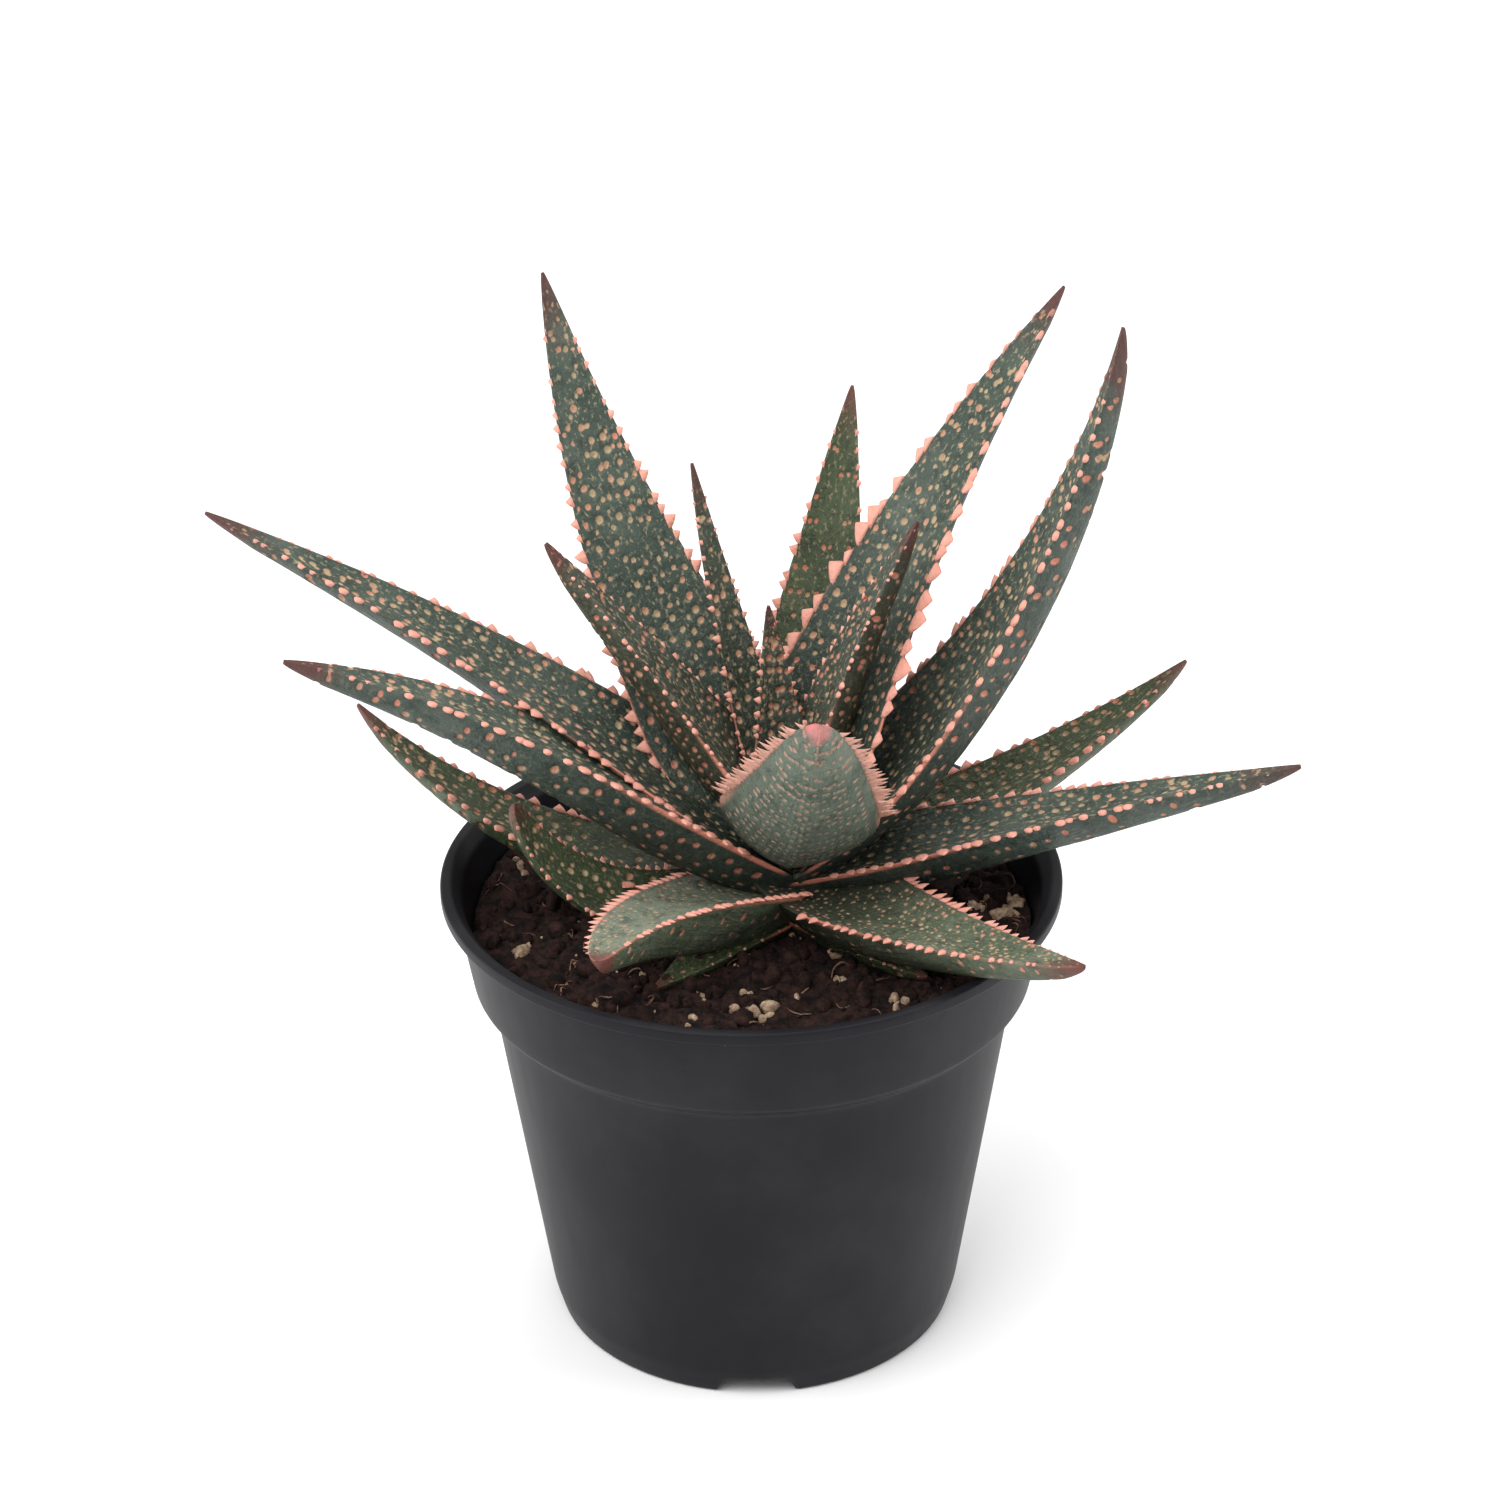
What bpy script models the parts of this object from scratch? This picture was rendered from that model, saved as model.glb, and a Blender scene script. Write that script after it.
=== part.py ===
"""A potted aloe: nursery pot, soil, stem and leaves, one object for each piece.

Metres, +Z up. The pot stands on z = 0 with its axis on Z, and its front faces -Y.
"""

from dataclasses import dataclass
from math import cos, pi, radians, sin, tau

import bmesh
import bpy
import numpy as np
from mathutils import Vector

MM = 0.001

# Gap kept between two pieces that touch.
TOUCH_GAP = 0.3 * MM

# Points closer than this are one point.
WELD = 0.001 * MM

# Pot
POT_HEIGHT = 83.0 * MM
RIM_RADIUS = 52.5 * MM
RIM_HEIGHT = 2.0 * MM
RIM_OVERHANG = 2.2 * MM
COLLAR_HEIGHT = 15.8 * MM
COLLAR_TAPER = 2.8 * MM
SHOULDER_DROP = 2.4 * MM
SHOULDER_STEP = 3.0 * MM
FOOT_RADIUS = 34.2 * MM
FOOT_HEIGHT = 4.8 * MM
FOOT_FLARE = 1.4 * MM
FOOT_ROUNDING = 0.8 * MM
FOOT_RING_WIDTH = 3.0 * MM
RIM_BEVEL = 0.3 * MM
WALL = 1.4 * MM
FLOOR_RISE = 3.2 * MM
FLOOR_THICKNESS = 1.4 * MM
NOTCH_COUNT = 4
NOTCH_WIDTH = 14.0 * MM
NOTCH_TOP_WIDTH = 10.4 * MM
NOTCH_HEIGHT = 3.0 * MM
DRAIN_COUNT = 4
DRAIN_RADIUS = 4.0 * MM
DRAIN_CIRCLE_RADIUS = 20.0 * MM
POT_SEGMENTS = 72

# Soil
SOIL_DEPTH_BELOW_RIM = 9.0 * MM
SOIL_CROWN = 1.2 * MM
SOIL_LUMP = 0.5 * MM
SOIL_LUMP_SPACING = 20.0 * MM
SOIL_RINGS = 7
SOIL_SEGMENTS = 36

# Stem, which stands a little off the pot's axis
STEM_X = 6.0 * MM
STEM_Y = 2.0 * MM
STEM_RADIUS = 4.5 * MM
STEM_TIP_RADIUS = 2.2 * MM
STEM_HEIGHT = 19.0 * MM
STEM_DEPTH = 14.0 * MM
STEM_SEGMENTS = 20

# Leaf section and outline
LEAF_STATIONS = 15
LEAF_STEPS_PER_STATION = 8
LEAF_SECTION_POINTS = 5
LEAF_CUP = 0.22
LEAF_KEEL = 0.75
LEAF_EDGE = 0.9 * MM
LEAF_TIP_WIDTH = 0.9 * MM
LEAF_WIDEST_AT = 0.24
LEAF_BASE_SHARE = 0.72


@dataclass(frozen=True)
class Leaf:
    """One leaf: where it leaves the stem, how it runs and how big it is.

    base is millimetres above the soil, angles are degrees, sizes are millimetres.
    heading turns from +X towards +Y, and swing is how far it has turned by the tip.
    rise and tip_rise are the slopes at the base and at the tip, and roll turns the
    leaf about its own length. bend over 1 leaves the change of slope to the tip end.
    taper under 1 keeps the leaf broad for longer, with a blunter tip.
    """

    name: str
    base: float
    heading: float
    swing: float
    rise: float
    tip_rise: float
    length: float
    width: float
    thickness: float
    roll: float = 0.0
    bend: float = 1.0
    taper: float = 0.86


# From the innermost leaf outwards: each leaf clasps the ones above it in this list.
LEAVES = (
    Leaf("leaf_innermost", 21, 103, 9, 72, 77, 34, 10, 3.0),
    Leaf("leaf_inner_right", 18, 18, -3, 75, 58, 57, 13, 5.5),
    Leaf("leaf_inner_back", 18, 120, 0, 54, 67, 62, 9, 4.5),
    Leaf("leaf_inner_left", 17, 166, 0, 53, 47, 63, 16, 6.5),
    Leaf("leaf_front_young", 16, -78, -6, 26, 63, 52, 27, 6.0, -14, 0.71, 0.53),
    Leaf("leaf_back_right", 13, 44, -15, 65, 49, 105, 27, 5.0, 0, 0.87),
    Leaf("leaf_back_left", 14, 139, -16, 43, 66, 105, 24, 6.0, -38),
    Leaf("leaf_right_tall", 11, 10, -16, 32, 80, 112, 26, 7.0, 5, 0.7),
    Leaf("leaf_left_long", 10, 166, 5, 36, 24, 114, 21, 6.0, -4),
    Leaf("leaf_left_lower", 9, 186, 3, 34, 15, 94, 22, 8.5, 14, 2.4),
    Leaf("leaf_right", 8, -8, -12, 18, 21, 91, 18, 7.0, 2, 1.1),
    Leaf("leaf_back_centre", 6, 81, -11, 42, 66, 87, 23, 5.0),
    Leaf("leaf_front_left", 4, 225, 31, 18, 3, 56, 22, 8.0, 10, 2.15, 0.6),
    Leaf("leaf_front_right", 8, -57, 13, 0, 16, 72, 21.5, 7.0, 0, 0.6, 0.8),
    Leaf("leaf_right_back", 5, 18, -1, 11, 36, 79, 23, 6.0),
    Leaf("leaf_left_under", 4.5, 171, -14, 0, 43, 82, 20, 6.0, 0, 1.25),
    Leaf("leaf_left_small", 3, 198, -25, -5, 74, 56, 18, 5.0, -22, 1.5),
    Leaf("leaf_front_small", 2, -48, 4, -3, 4, 33, 12, 4.0),
    Leaf("leaf_front_under", 1, 236, -4, -1, -3, 35, 14, 4.0),
)

SOIL_LEVEL = POT_HEIGHT - SOIL_DEPTH_BELOW_RIM


def clear_scene():
    for found in list(bpy.data.objects):
        bpy.data.objects.remove(found, do_unlink=True)


def make_material(name, color, roughness, metallic=0.0):
    material = bpy.data.materials.new(name)
    material.use_nodes = True
    shader = material.node_tree.nodes["Principled BSDF"]
    shader.inputs["Base Color"].default_value = (*color, 1.0)
    shader.inputs["Roughness"].default_value = roughness
    shader.inputs["Metallic"].default_value = metallic
    return material


def add_object(name, bm, material=None, smooth_angle=None):
    """Turns a bmesh into a scene object."""
    bmesh.ops.recalc_face_normals(bm, faces=bm.faces)
    mesh = bpy.data.meshes.new(name)
    bm.to_mesh(mesh)
    bm.free()
    made = bpy.data.objects.new(name, mesh)
    bpy.context.scene.collection.objects.link(made)
    if material is not None:
        mesh.materials.append(material)
    if smooth_angle is not None:
        mesh.shade_smooth()
        mesh.set_sharp_from_angle(angle=smooth_angle)
    return made


def make_cutter(made):
    made.hide_render = True
    made.display_type = "WIRE"
    return made


def turned(profile, segments, centre=(0.0, 0.0)):
    """A closed solid from a profile of (radius, z) points that starts and ends on the axis."""
    bm = bmesh.new()
    rings = []
    for radius, height in profile:
        if radius == 0.0:
            rings.append([bm.verts.new((centre[0], centre[1], height))])
            continue
        ring = []
        for step in range(segments):
            angle = tau * step / segments
            x = centre[0] + radius * cos(angle)
            y = centre[1] + radius * sin(angle)
            ring.append(bm.verts.new((x, y, height)))
        rings.append(ring)
    for low, high in zip(rings, rings[1:]):
        for step in range(segments):
            after = (step + 1) % segments
            corners = [low[step % len(low)], low[after % len(low)]]
            corners += [high[after % len(high)], high[step % len(high)]]
            bm.faces.new(list(dict.fromkeys(corners)))
    return bm


def arc(centre, radius, start, end, steps):
    """Points (radius, z) along an arc, with its angles in degrees."""
    points = []
    for step in range(steps + 1):
        angle = radians(start + (end - start) * step / steps)
        points.append((centre[0] + radius * cos(angle), centre[1] + radius * sin(angle)))
    return points


def collar_radii():
    """Outer radii of the collar at its top and at its lower edge."""
    top = RIM_RADIUS - RIM_OVERHANG
    return top, top - COLLAR_TAPER


def pot_heights():
    """Heights of the rim's underside, the collar's lower edge and the body's top."""
    rim = POT_HEIGHT - RIM_HEIGHT
    collar = rim - COLLAR_HEIGHT
    return rim, collar, collar - SHOULDER_DROP


def inner_wall():
    """The pot's inside from its floor to its mouth, as (radius, z) points."""
    collar_top, collar_low = collar_radii()
    rim, collar, body = pot_heights()
    floor = FLOOR_RISE + FLOOR_THICKNESS
    body_top = collar_low - SHOULDER_STEP
    foot_top = FOOT_RADIUS + FOOT_FLARE
    return [
        (foot_top - WALL, floor),
        (body_top - WALL, body + WALL / 2),
        (collar_low - WALL, collar + WALL / 2),
        (collar_top - WALL, rim),
        (RIM_RADIUS - RIM_OVERHANG + WALL / 4, POT_HEIGHT),
    ]


def pot_profile():
    """The whole pot's section, from under its floor round the outside to the floor's top."""
    collar_top, collar_low = collar_radii()
    rim, collar, body = pot_heights()
    body_top = collar_low - SHOULDER_STEP
    foot_inner = FOOT_RADIUS - FOOT_RING_WIDTH
    profile = [(0.0, FLOOR_RISE), (foot_inner, FLOOR_RISE), (foot_inner, 0.0)]
    profile += arc(
        (FOOT_RADIUS - FOOT_ROUNDING, FOOT_ROUNDING), FOOT_ROUNDING, -90, -10, 3
    )
    profile += [
        (FOOT_RADIUS + FOOT_FLARE, FOOT_HEIGHT),
        (body_top, body),
        (collar_low, collar),
        (collar_top, rim),
        (RIM_RADIUS - RIM_BEVEL, rim),
        (RIM_RADIUS, rim + RIM_BEVEL),
        (RIM_RADIUS, POT_HEIGHT - RIM_BEVEL),
        (RIM_RADIUS - RIM_BEVEL, POT_HEIGHT),
    ]
    profile += reversed(inner_wall())
    profile.append((0.0, FLOOR_RISE + FLOOR_THICKNESS))
    return profile


def notch_cutter(turn):
    """A wedge with a narrower top that opens the foot ring, turned about Z."""
    bm = bmesh.new()
    inner = FOOT_RADIUS - FOOT_RING_WIDTH - WALL
    outer = FOOT_RADIUS + FOOT_FLARE + WALL
    rings = []
    for along in (inner, outer):
        half, top = NOTCH_WIDTH / 2, NOTCH_TOP_WIDTH / 2
        corners = ((-half, -WALL), (half, -WALL), (half, 0.0))
        corners += ((top, NOTCH_HEIGHT), (-top, NOTCH_HEIGHT), (-half, 0.0))
        ring = []
        for across, height in corners:
            x = along * cos(turn) - across * sin(turn)
            y = along * sin(turn) + across * cos(turn)
            ring.append(bm.verts.new((x, y, height)))
        rings.append(ring)
    bm.faces.new(rings[0])
    bm.faces.new(rings[1])
    for step in range(len(rings[0])):
        after = (step + 1) % len(rings[0])
        bm.faces.new(
            (rings[0][step], rings[0][after], rings[1][after], rings[1][step])
        )
    return make_cutter(add_object("notch_cutter", bm))


def drain_cutter(turn):
    bm = bmesh.new()
    bmesh.ops.create_cone(
        bm,
        cap_ends=True,
        segments=24,
        radius1=DRAIN_RADIUS,
        radius2=DRAIN_RADIUS,
        depth=FLOOR_THICKNESS * 3,
    )
    place = Vector((cos(turn), sin(turn), 0.0)) * DRAIN_CIRCLE_RADIUS
    place.z = FLOOR_RISE + FLOOR_THICKNESS / 2
    bmesh.ops.translate(bm, verts=bm.verts, vec=place)
    return make_cutter(add_object("drain_cutter", bm))


def cut(target, cutter):
    """Cuts one object from another, keeps the largest body left and drops the cutter."""
    modifier = target.modifiers.new("cut", "BOOLEAN")
    modifier.operation = "DIFFERENCE"
    modifier.solver = "EXACT"
    modifier.object = cutter
    graph = bpy.context.evaluated_depsgraph_get()
    result = bpy.data.meshes.new_from_object(target.evaluated_get(graph))
    target.modifiers.remove(modifier)
    target.data = result
    bpy.data.objects.remove(cutter, do_unlink=True)
    keep_largest_body(target)


def keep_largest_body(target):
    """Welds the slivers of a cut and deletes the crumbs that it leaves beside the main body."""
    bm = bmesh.new()
    bm.from_mesh(target.data)
    bmesh.ops.triangulate(bm, faces=bm.faces)
    bmesh.ops.remove_doubles(bm, verts=bm.verts, dist=WELD)
    bmesh.ops.dissolve_degenerate(bm, edges=bm.edges, dist=WELD)
    waiting = set(bm.faces)
    bodies = []
    while waiting:
        front = [waiting.pop()]
        body = list(front)
        while front:
            for edge in front.pop().edges:
                for face in edge.link_faces:
                    if face in waiting:
                        waiting.remove(face)
                        body.append(face)
                        front.append(face)
        bodies.append(body)
    bodies.sort(key=lambda body: sum(face.calc_area() for face in body))
    for body in bodies[:-1]:
        bmesh.ops.delete(bm, geom=body, context="FACES")
    loose = [vert for vert in bm.verts if not vert.link_faces]
    bmesh.ops.delete(bm, geom=loose, context="VERTS")
    bmesh.ops.triangulate(bm, faces=bm.faces)
    bm.to_mesh(target.data)
    bm.free()


def build_pot(material):
    pot = add_object("pot", turned(pot_profile(), POT_SEGMENTS), material, radians(30))
    for step in range(NOTCH_COUNT):
        cut(pot, notch_cutter(tau * step / NOTCH_COUNT))
    for step in range(DRAIN_COUNT):
        cut(pot, drain_cutter(tau * (step + 0.5) / DRAIN_COUNT))
    return pot


def soil_radius(height):
    """The soil's radius where the pot's inner wall is at this height."""
    wall = inner_wall()
    heights = [point[1] for point in wall]
    radii = [point[0] for point in wall]
    return float(np.interp(height, heights, radii)) - TOUCH_GAP


def soil_profile():
    """The soil's section: it fills the pot up to its level and is a little crowned."""
    floor = FLOOR_RISE + FLOOR_THICKNESS + TOUCH_GAP
    profile = [(0.0, floor), (soil_radius(floor), floor)]
    for _, height in inner_wall()[1:-1]:
        if height < SOIL_LEVEL:
            profile.append((soil_radius(height), height))
    edge = soil_radius(SOIL_LEVEL)
    for step in range(SOIL_RINGS + 1):
        share = 1.0 - step / SOIL_RINGS
        height = SOIL_LEVEL + SOIL_CROWN * cos(share * pi / 2)
        profile.append((edge * share, height))
    return profile


def build_soil(material):
    bm = turned(soil_profile(), SOIL_SEGMENTS)
    edge = soil_radius(SOIL_LEVEL)
    for vert in bm.verts:
        if vert.co.z >= SOIL_LEVEL and vert.co.xy.length < edge - TOUCH_GAP:
            x = tau * vert.co.x / SOIL_LUMP_SPACING
            y = tau * vert.co.y / SOIL_LUMP_SPACING
            vert.co.z += SOIL_LUMP * sin(x) * cos(y)
    return add_object("soil", bm, material, radians(60))


def stem_profile(grow=0.0):
    """The stem tapers up to its tip and down to a blunt foot in the soil."""
    top = SOIL_LEVEL + STEM_HEIGHT
    foot = SOIL_LEVEL - STEM_DEPTH
    return [
        (0.0, foot - grow),
        (STEM_TIP_RADIUS + grow, foot - grow),
        (STEM_RADIUS + grow, foot + STEM_DEPTH / 2),
        (STEM_RADIUS + grow, SOIL_LEVEL + STEM_HEIGHT / 2),
        (STEM_TIP_RADIUS + grow, top + grow),
        (0.0, top + grow),
    ]


def build_stem(material):
    bm = turned(stem_profile(), STEM_SEGMENTS, (STEM_X, STEM_Y))
    return add_object("stem", bm, material, radians(50))


def stem_cutter():
    bm = turned(stem_profile(TOUCH_GAP), STEM_SEGMENTS, (STEM_X, STEM_Y))
    return make_cutter(add_object("stem_cutter", bm))


def leaf_path(leaf):
    """Points along the leaf's centre line, and its length, side and face directions."""
    shares = np.linspace(0.0, 1.0, LEAF_STATIONS)
    fine = np.linspace(0.0, 1.0, LEAF_STEPS_PER_STATION * (LEAF_STATIONS - 1) + 1)

    def directions(share):
        eased = share**leaf.bend
        slope = np.radians(leaf.rise + (leaf.tip_rise - leaf.rise) * eased)
        turn = np.radians(leaf.heading + leaf.swing * eased)
        ahead = np.stack(
            [np.cos(slope) * np.cos(turn), np.cos(slope) * np.sin(turn), np.sin(slope)],
            axis=1,
        )
        side = np.stack([-np.sin(turn), np.cos(turn), 0.0 * turn], axis=1)
        return ahead, side, np.cross(ahead, side)

    middles = (fine[1:] + fine[:-1]) / 2
    steps = directions(middles)[0] * (leaf.length * MM / (len(fine) - 1))
    path = np.vstack([np.zeros(3), np.cumsum(steps, axis=0)])[::LEAF_STEPS_PER_STATION]
    path += (STEM_X, STEM_Y, SOIL_LEVEL + leaf.base * MM)
    ahead, side, face = directions(shares)
    turn = radians(leaf.roll)
    rolled_side = side * cos(turn) + face * sin(turn)
    rolled_face = face * cos(turn) - side * sin(turn)
    return shares, path, ahead, rolled_side, rolled_face


def leaf_half_width(leaf, share):
    """Half the leaf's width: it swells from the base, then tapers to a narrow tip."""
    swell = np.clip(share / LEAF_WIDEST_AT, 0.0, 1.0)
    grown = LEAF_BASE_SHARE + (1.0 - LEAF_BASE_SHARE) * np.sin(swell * pi / 2)
    left = np.clip((1.0 - share) / (1.0 - LEAF_WIDEST_AT), 0.0, 1.0)
    tip = LEAF_TIP_WIDTH / (leaf.width * MM)
    return leaf.width * MM / 2 * grown * (tip + (1.0 - tip) * left**leaf.taper)


def leaf_rings(leaf, grow=0.0):
    """Rings of points round the leaf, each a channelled top over a keeled underside."""
    shares, path, ahead, side, face = leaf_path(leaf)
    half = leaf_half_width(leaf, shares)
    across = np.linspace(-1.0, 1.0, LEAF_SECTION_POINTS)
    top = LEAF_CUP * half[:, None] * across**2
    thick = leaf.thickness * MM * (half / half.max()) ** LEAF_KEEL
    belly = LEAF_EDGE + thick[:, None] * (1.0 - across**2)
    reach = half[:, None] * across
    sideways = np.sign(across) * grow
    upper = np.stack([reach + sideways, top + grow], axis=-1)
    lower = np.stack([reach + sideways, top - belly - grow], axis=-1)
    section = np.concatenate([upper, lower[:, ::-1]], axis=1)
    ends = path.copy()
    ends[0] -= ahead[0] * grow
    ends[-1] += ahead[-1] * grow
    offset_side = section[:, :, :1] * side[:, None, :]
    offset_face = section[:, :, 1:] * face[:, None, :]
    return ends[:, None, :] + offset_side + offset_face


def leaf_mesh(leaf, grow=0.0):
    """Bridges the rings into a closed mesh with a cap at each end."""
    bm = bmesh.new()
    rings = [[bm.verts.new(point) for point in ring] for ring in leaf_rings(leaf, grow)]
    count = len(rings[0])
    for low, high in zip(rings, rings[1:]):
        for step in range(count):
            after = (step + 1) % count
            bm.faces.new((low[step], low[after], high[after], high[step]))
    bm.faces.new(rings[0])
    bm.faces.new(rings[-1])
    bmesh.ops.triangulate(bm, faces=bm.faces)
    return bm


def leaf_cutter(leaf):
    return make_cutter(add_object(f"{leaf.name}_cutter", leaf_mesh(leaf, TOUCH_GAP)))


def boxes_meet(one, other):
    """Whether the boxes round two objects reach each other."""
    corners = []
    for item in (one, other):
        points = np.array([vert.co for vert in item.data.vertices])
        corners.append((points.min(axis=0), points.max(axis=0)))
    (low_a, high_a), (low_b, high_b) = corners
    return bool((low_a <= high_b).all() and (low_b <= high_a).all())


def cut_if_near(target, cutter):
    if boxes_meet(target, cutter):
        cut(target, cutter)
    else:
        bpy.data.objects.remove(cutter, do_unlink=True)


def build_leaves(material):
    """Builds each leaf and clears it from the stem and from the leaves it clasps."""
    for index, leaf in enumerate(LEAVES):
        made = add_object(leaf.name, leaf_mesh(leaf), material, radians(50))
        cut_if_near(made, stem_cutter())
        for inner in LEAVES[:index]:
            cut_if_near(made, leaf_cutter(inner))


def seat_in_soil(soil):
    """Gives the soil a hollow for the stem and for each leaf that lies on it."""
    cut(soil, stem_cutter())
    for leaf in LEAVES:
        cut_if_near(soil, leaf_cutter(leaf))


def main():
    clear_scene()
    plastic = make_material("pot_plastic", (0.028, 0.028, 0.031), 0.55)
    peat = make_material("potting_soil", (0.035, 0.022, 0.016), 0.95)
    stem_skin = make_material("stem_skin", (0.16, 0.2, 0.09), 0.7)
    leaf_skin = make_material("leaf_skin", (0.09, 0.17, 0.14), 0.5)
    build_pot(plastic)
    soil = build_soil(peat)
    build_stem(stem_skin)
    build_leaves(leaf_skin)
    seat_in_soil(soil)


main()
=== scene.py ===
"""The looks of a potted aloe: a rosette of toothed, warty leaves in a black nursery pot.

Everything is in metres, +Z up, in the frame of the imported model. The pot stands on z = 0.
"""

import logging
import math
from dataclasses import dataclass, replace
from enum import Enum

import bpy
import numpy as np
from mathutils import Matrix, Vector


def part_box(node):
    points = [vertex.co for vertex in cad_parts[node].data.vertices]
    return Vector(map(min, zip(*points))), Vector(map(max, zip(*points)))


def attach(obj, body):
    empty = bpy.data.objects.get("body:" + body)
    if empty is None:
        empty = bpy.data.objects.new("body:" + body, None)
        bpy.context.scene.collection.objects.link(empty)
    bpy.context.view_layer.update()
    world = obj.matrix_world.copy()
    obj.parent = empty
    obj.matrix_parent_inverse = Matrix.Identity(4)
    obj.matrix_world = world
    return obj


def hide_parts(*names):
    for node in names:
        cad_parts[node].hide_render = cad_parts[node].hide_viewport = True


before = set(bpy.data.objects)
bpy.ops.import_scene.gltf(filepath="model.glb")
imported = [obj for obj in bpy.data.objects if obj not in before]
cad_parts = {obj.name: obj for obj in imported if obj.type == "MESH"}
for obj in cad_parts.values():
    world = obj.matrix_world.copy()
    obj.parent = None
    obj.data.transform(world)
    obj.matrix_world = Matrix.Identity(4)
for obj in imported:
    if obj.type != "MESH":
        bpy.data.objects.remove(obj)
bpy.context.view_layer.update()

MM = 0.001
LOG = logging.getLogger("aloe")

Color = tuple[float, float, float]
Faces = list[tuple[int, ...]]
Socket = bpy.types.NodeSocket
Source = Socket | Color | float


# ---------------------------------------------------------------- arrays and meshes


def lattice_noise(points: np.ndarray, seed: int) -> np.ndarray:
    """Smooth random values from -1 to 1.

    Each corner of a unit lattice gets a hashed value, and a point takes the smoothstep
    blend of the eight corners round it.

    Args:
        points: places to read, one per row, in lattice units.
        seed: picks one of many noise fields.

    Returns:
        One value for each point.
    """
    cell = np.floor(points).astype(np.int64)
    inside = points - cell
    weight = inside * inside * (3.0 - 2.0 * inside)
    total = np.zeros(len(points))
    for corner in np.ndindex(2, 2, 2):
        at = cell + corner
        mixed = at[:, 0] * 374761393 + at[:, 1] * 668265263 + at[:, 2] * 961748927
        mixed = (mixed + seed * 1274126177) & 0xFFFFFFFF
        mixed = ((mixed ^ (mixed >> 13)) * 1274126177) & 0xFFFFFFFF
        value = (mixed ^ (mixed >> 16)) / 2**31 - 1.0
        share = np.where(np.array(corner) == 1, weight, 1.0 - weight).prod(axis=1)
        total += value * share
    return total


def layered_noise(points: np.ndarray, seed: int, octaves: int) -> np.ndarray:
    """Sum of lattice noises, each twice as fine and half as strong as the last.

    Args:
        points: places to read, in units of the coarsest lattice.
        seed: picks the noise field.
        octaves: how many layers are added.

    Returns:
        One value for each point, mostly between -1 and 1.
    """
    layers = range(octaves)
    return sum(lattice_noise(points * 2.0**k, seed + k) / 2.0 ** (k + 1) for k in layers)


def smooth_step(low: float, high: float, value: np.ndarray) -> np.ndarray:
    """The ramp 3t^2 - 2t^3 of the share t of the way from low to high.

    Args:
        low: where the ramp is 0.
        high: where the ramp is 1. It may lie below low.
        value: the values to read.

    Returns:
        One share from 0 to 1 for each value.
    """
    share = np.clip((value - low) / (high - low), 0.0, 1.0)
    return share * share * (3.0 - 2.0 * share)


def closed_tube(rings: int, around: int) -> Faces:
    """Faces of a tube with both ends capped.

    A quad steps round its ring and up to the next one, and a cap is one face.

    Args:
        rings: number of rings.
        around: number of points in a ring.

    Returns:
        Corner numbers of each face. They face out when each ring runs anticlockwise as
        seen from the last ring's side.
    """
    row, step = np.meshgrid(np.arange(rings - 1), np.arange(around), indexing="ij")
    after = (step + 1) % around
    low, high = row * around, (row + 1) * around
    quads = np.stack([low + step, low + after, high + after, high + step], axis=-1)
    last = (rings - 1) * around
    caps = [tuple(range(around))[::-1], tuple(range(last, last + around))]
    return [tuple(quad) for quad in quads.reshape(-1, 4).tolist()] + caps


def inside_out(faces: Faces) -> Faces:
    """The same faces, looking the other way."""
    return [face[::-1] for face in faces]


def copies(faces: Faces, points_each: int, count: int) -> Faces:
    """The faces of many equal shapes whose points follow each other.

    Args:
        faces: faces of the first shape.
        points_each: number of points of one shape.
        count: number of shapes.

    Returns:
        Corner numbers of each face of all the shapes.
    """
    starts = range(0, points_each * count, points_each)
    return [tuple(corner + start for corner in face) for start in starts for face in faces]


def circle(around: int) -> tuple[np.ndarray, np.ndarray]:
    """Cosines and sines of even steps round a turn."""
    angle = np.arange(around) / around * math.tau
    return np.cos(angle), np.sin(angle)


def turned(profile: np.ndarray, around: int) -> np.ndarray:
    """Points of a profile turned about the Z axis.

    A profile point (r, z) becomes the ring (r cos a, r sin a, z) of the angles a.

    Args:
        profile: rows of radius and height.
        around: number of points in a ring.

    Returns:
        An array of rings, points and coordinates.
    """
    across, deep = circle(around)
    radius, z = profile[:, :1], profile[:, 1:]
    return np.stack([radius * across, radius * deep, z + np.zeros(around)], axis=-1)


def make_object(
    name: str,
    points: np.ndarray,
    faces: Faces,
    material: bpy.types.Material,
    marks: dict[str, np.ndarray] | None = None,
    flat_map: np.ndarray | None = None,
) -> bpy.types.Object:
    """Puts arrays into a smooth-shaded mesh object.

    Args:
        name: the piece's name.
        points: vertices, one per row.
        faces: corner numbers of each face.
        material: the piece's finish.
        marks: three-part values for each vertex, by attribute name.
        flat_map: two coordinates for each vertex, for patterns that follow the surface.

    Returns:
        The new object, linked to the scene.
    """
    mesh = bpy.data.meshes.new(name)
    mesh.from_pydata(points.reshape(-1, 3).tolist(), [], faces)
    for label, values in (marks or {}).items():
        layer = mesh.attributes.new(label, "FLOAT_COLOR", "POINT")
        filled = np.ones((len(values), 4), np.float32)
        filled[:, :3] = values
        layer.data.foreach_set("color", filled.ravel())
    if flat_map is not None:
        corners = np.empty(len(mesh.loops), np.int32)
        mesh.loops.foreach_get("vertex_index", corners)
        layer = mesh.uv_layers.new(name="Surface")
        layer.data.foreach_set("uv", flat_map[corners].astype(np.float32).ravel())
    mesh.materials.append(material)
    mesh.shade_smooth()
    mesh.validate()
    made = bpy.data.objects.new(name, mesh)
    bpy.context.scene.collection.objects.link(made)
    return made


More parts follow.
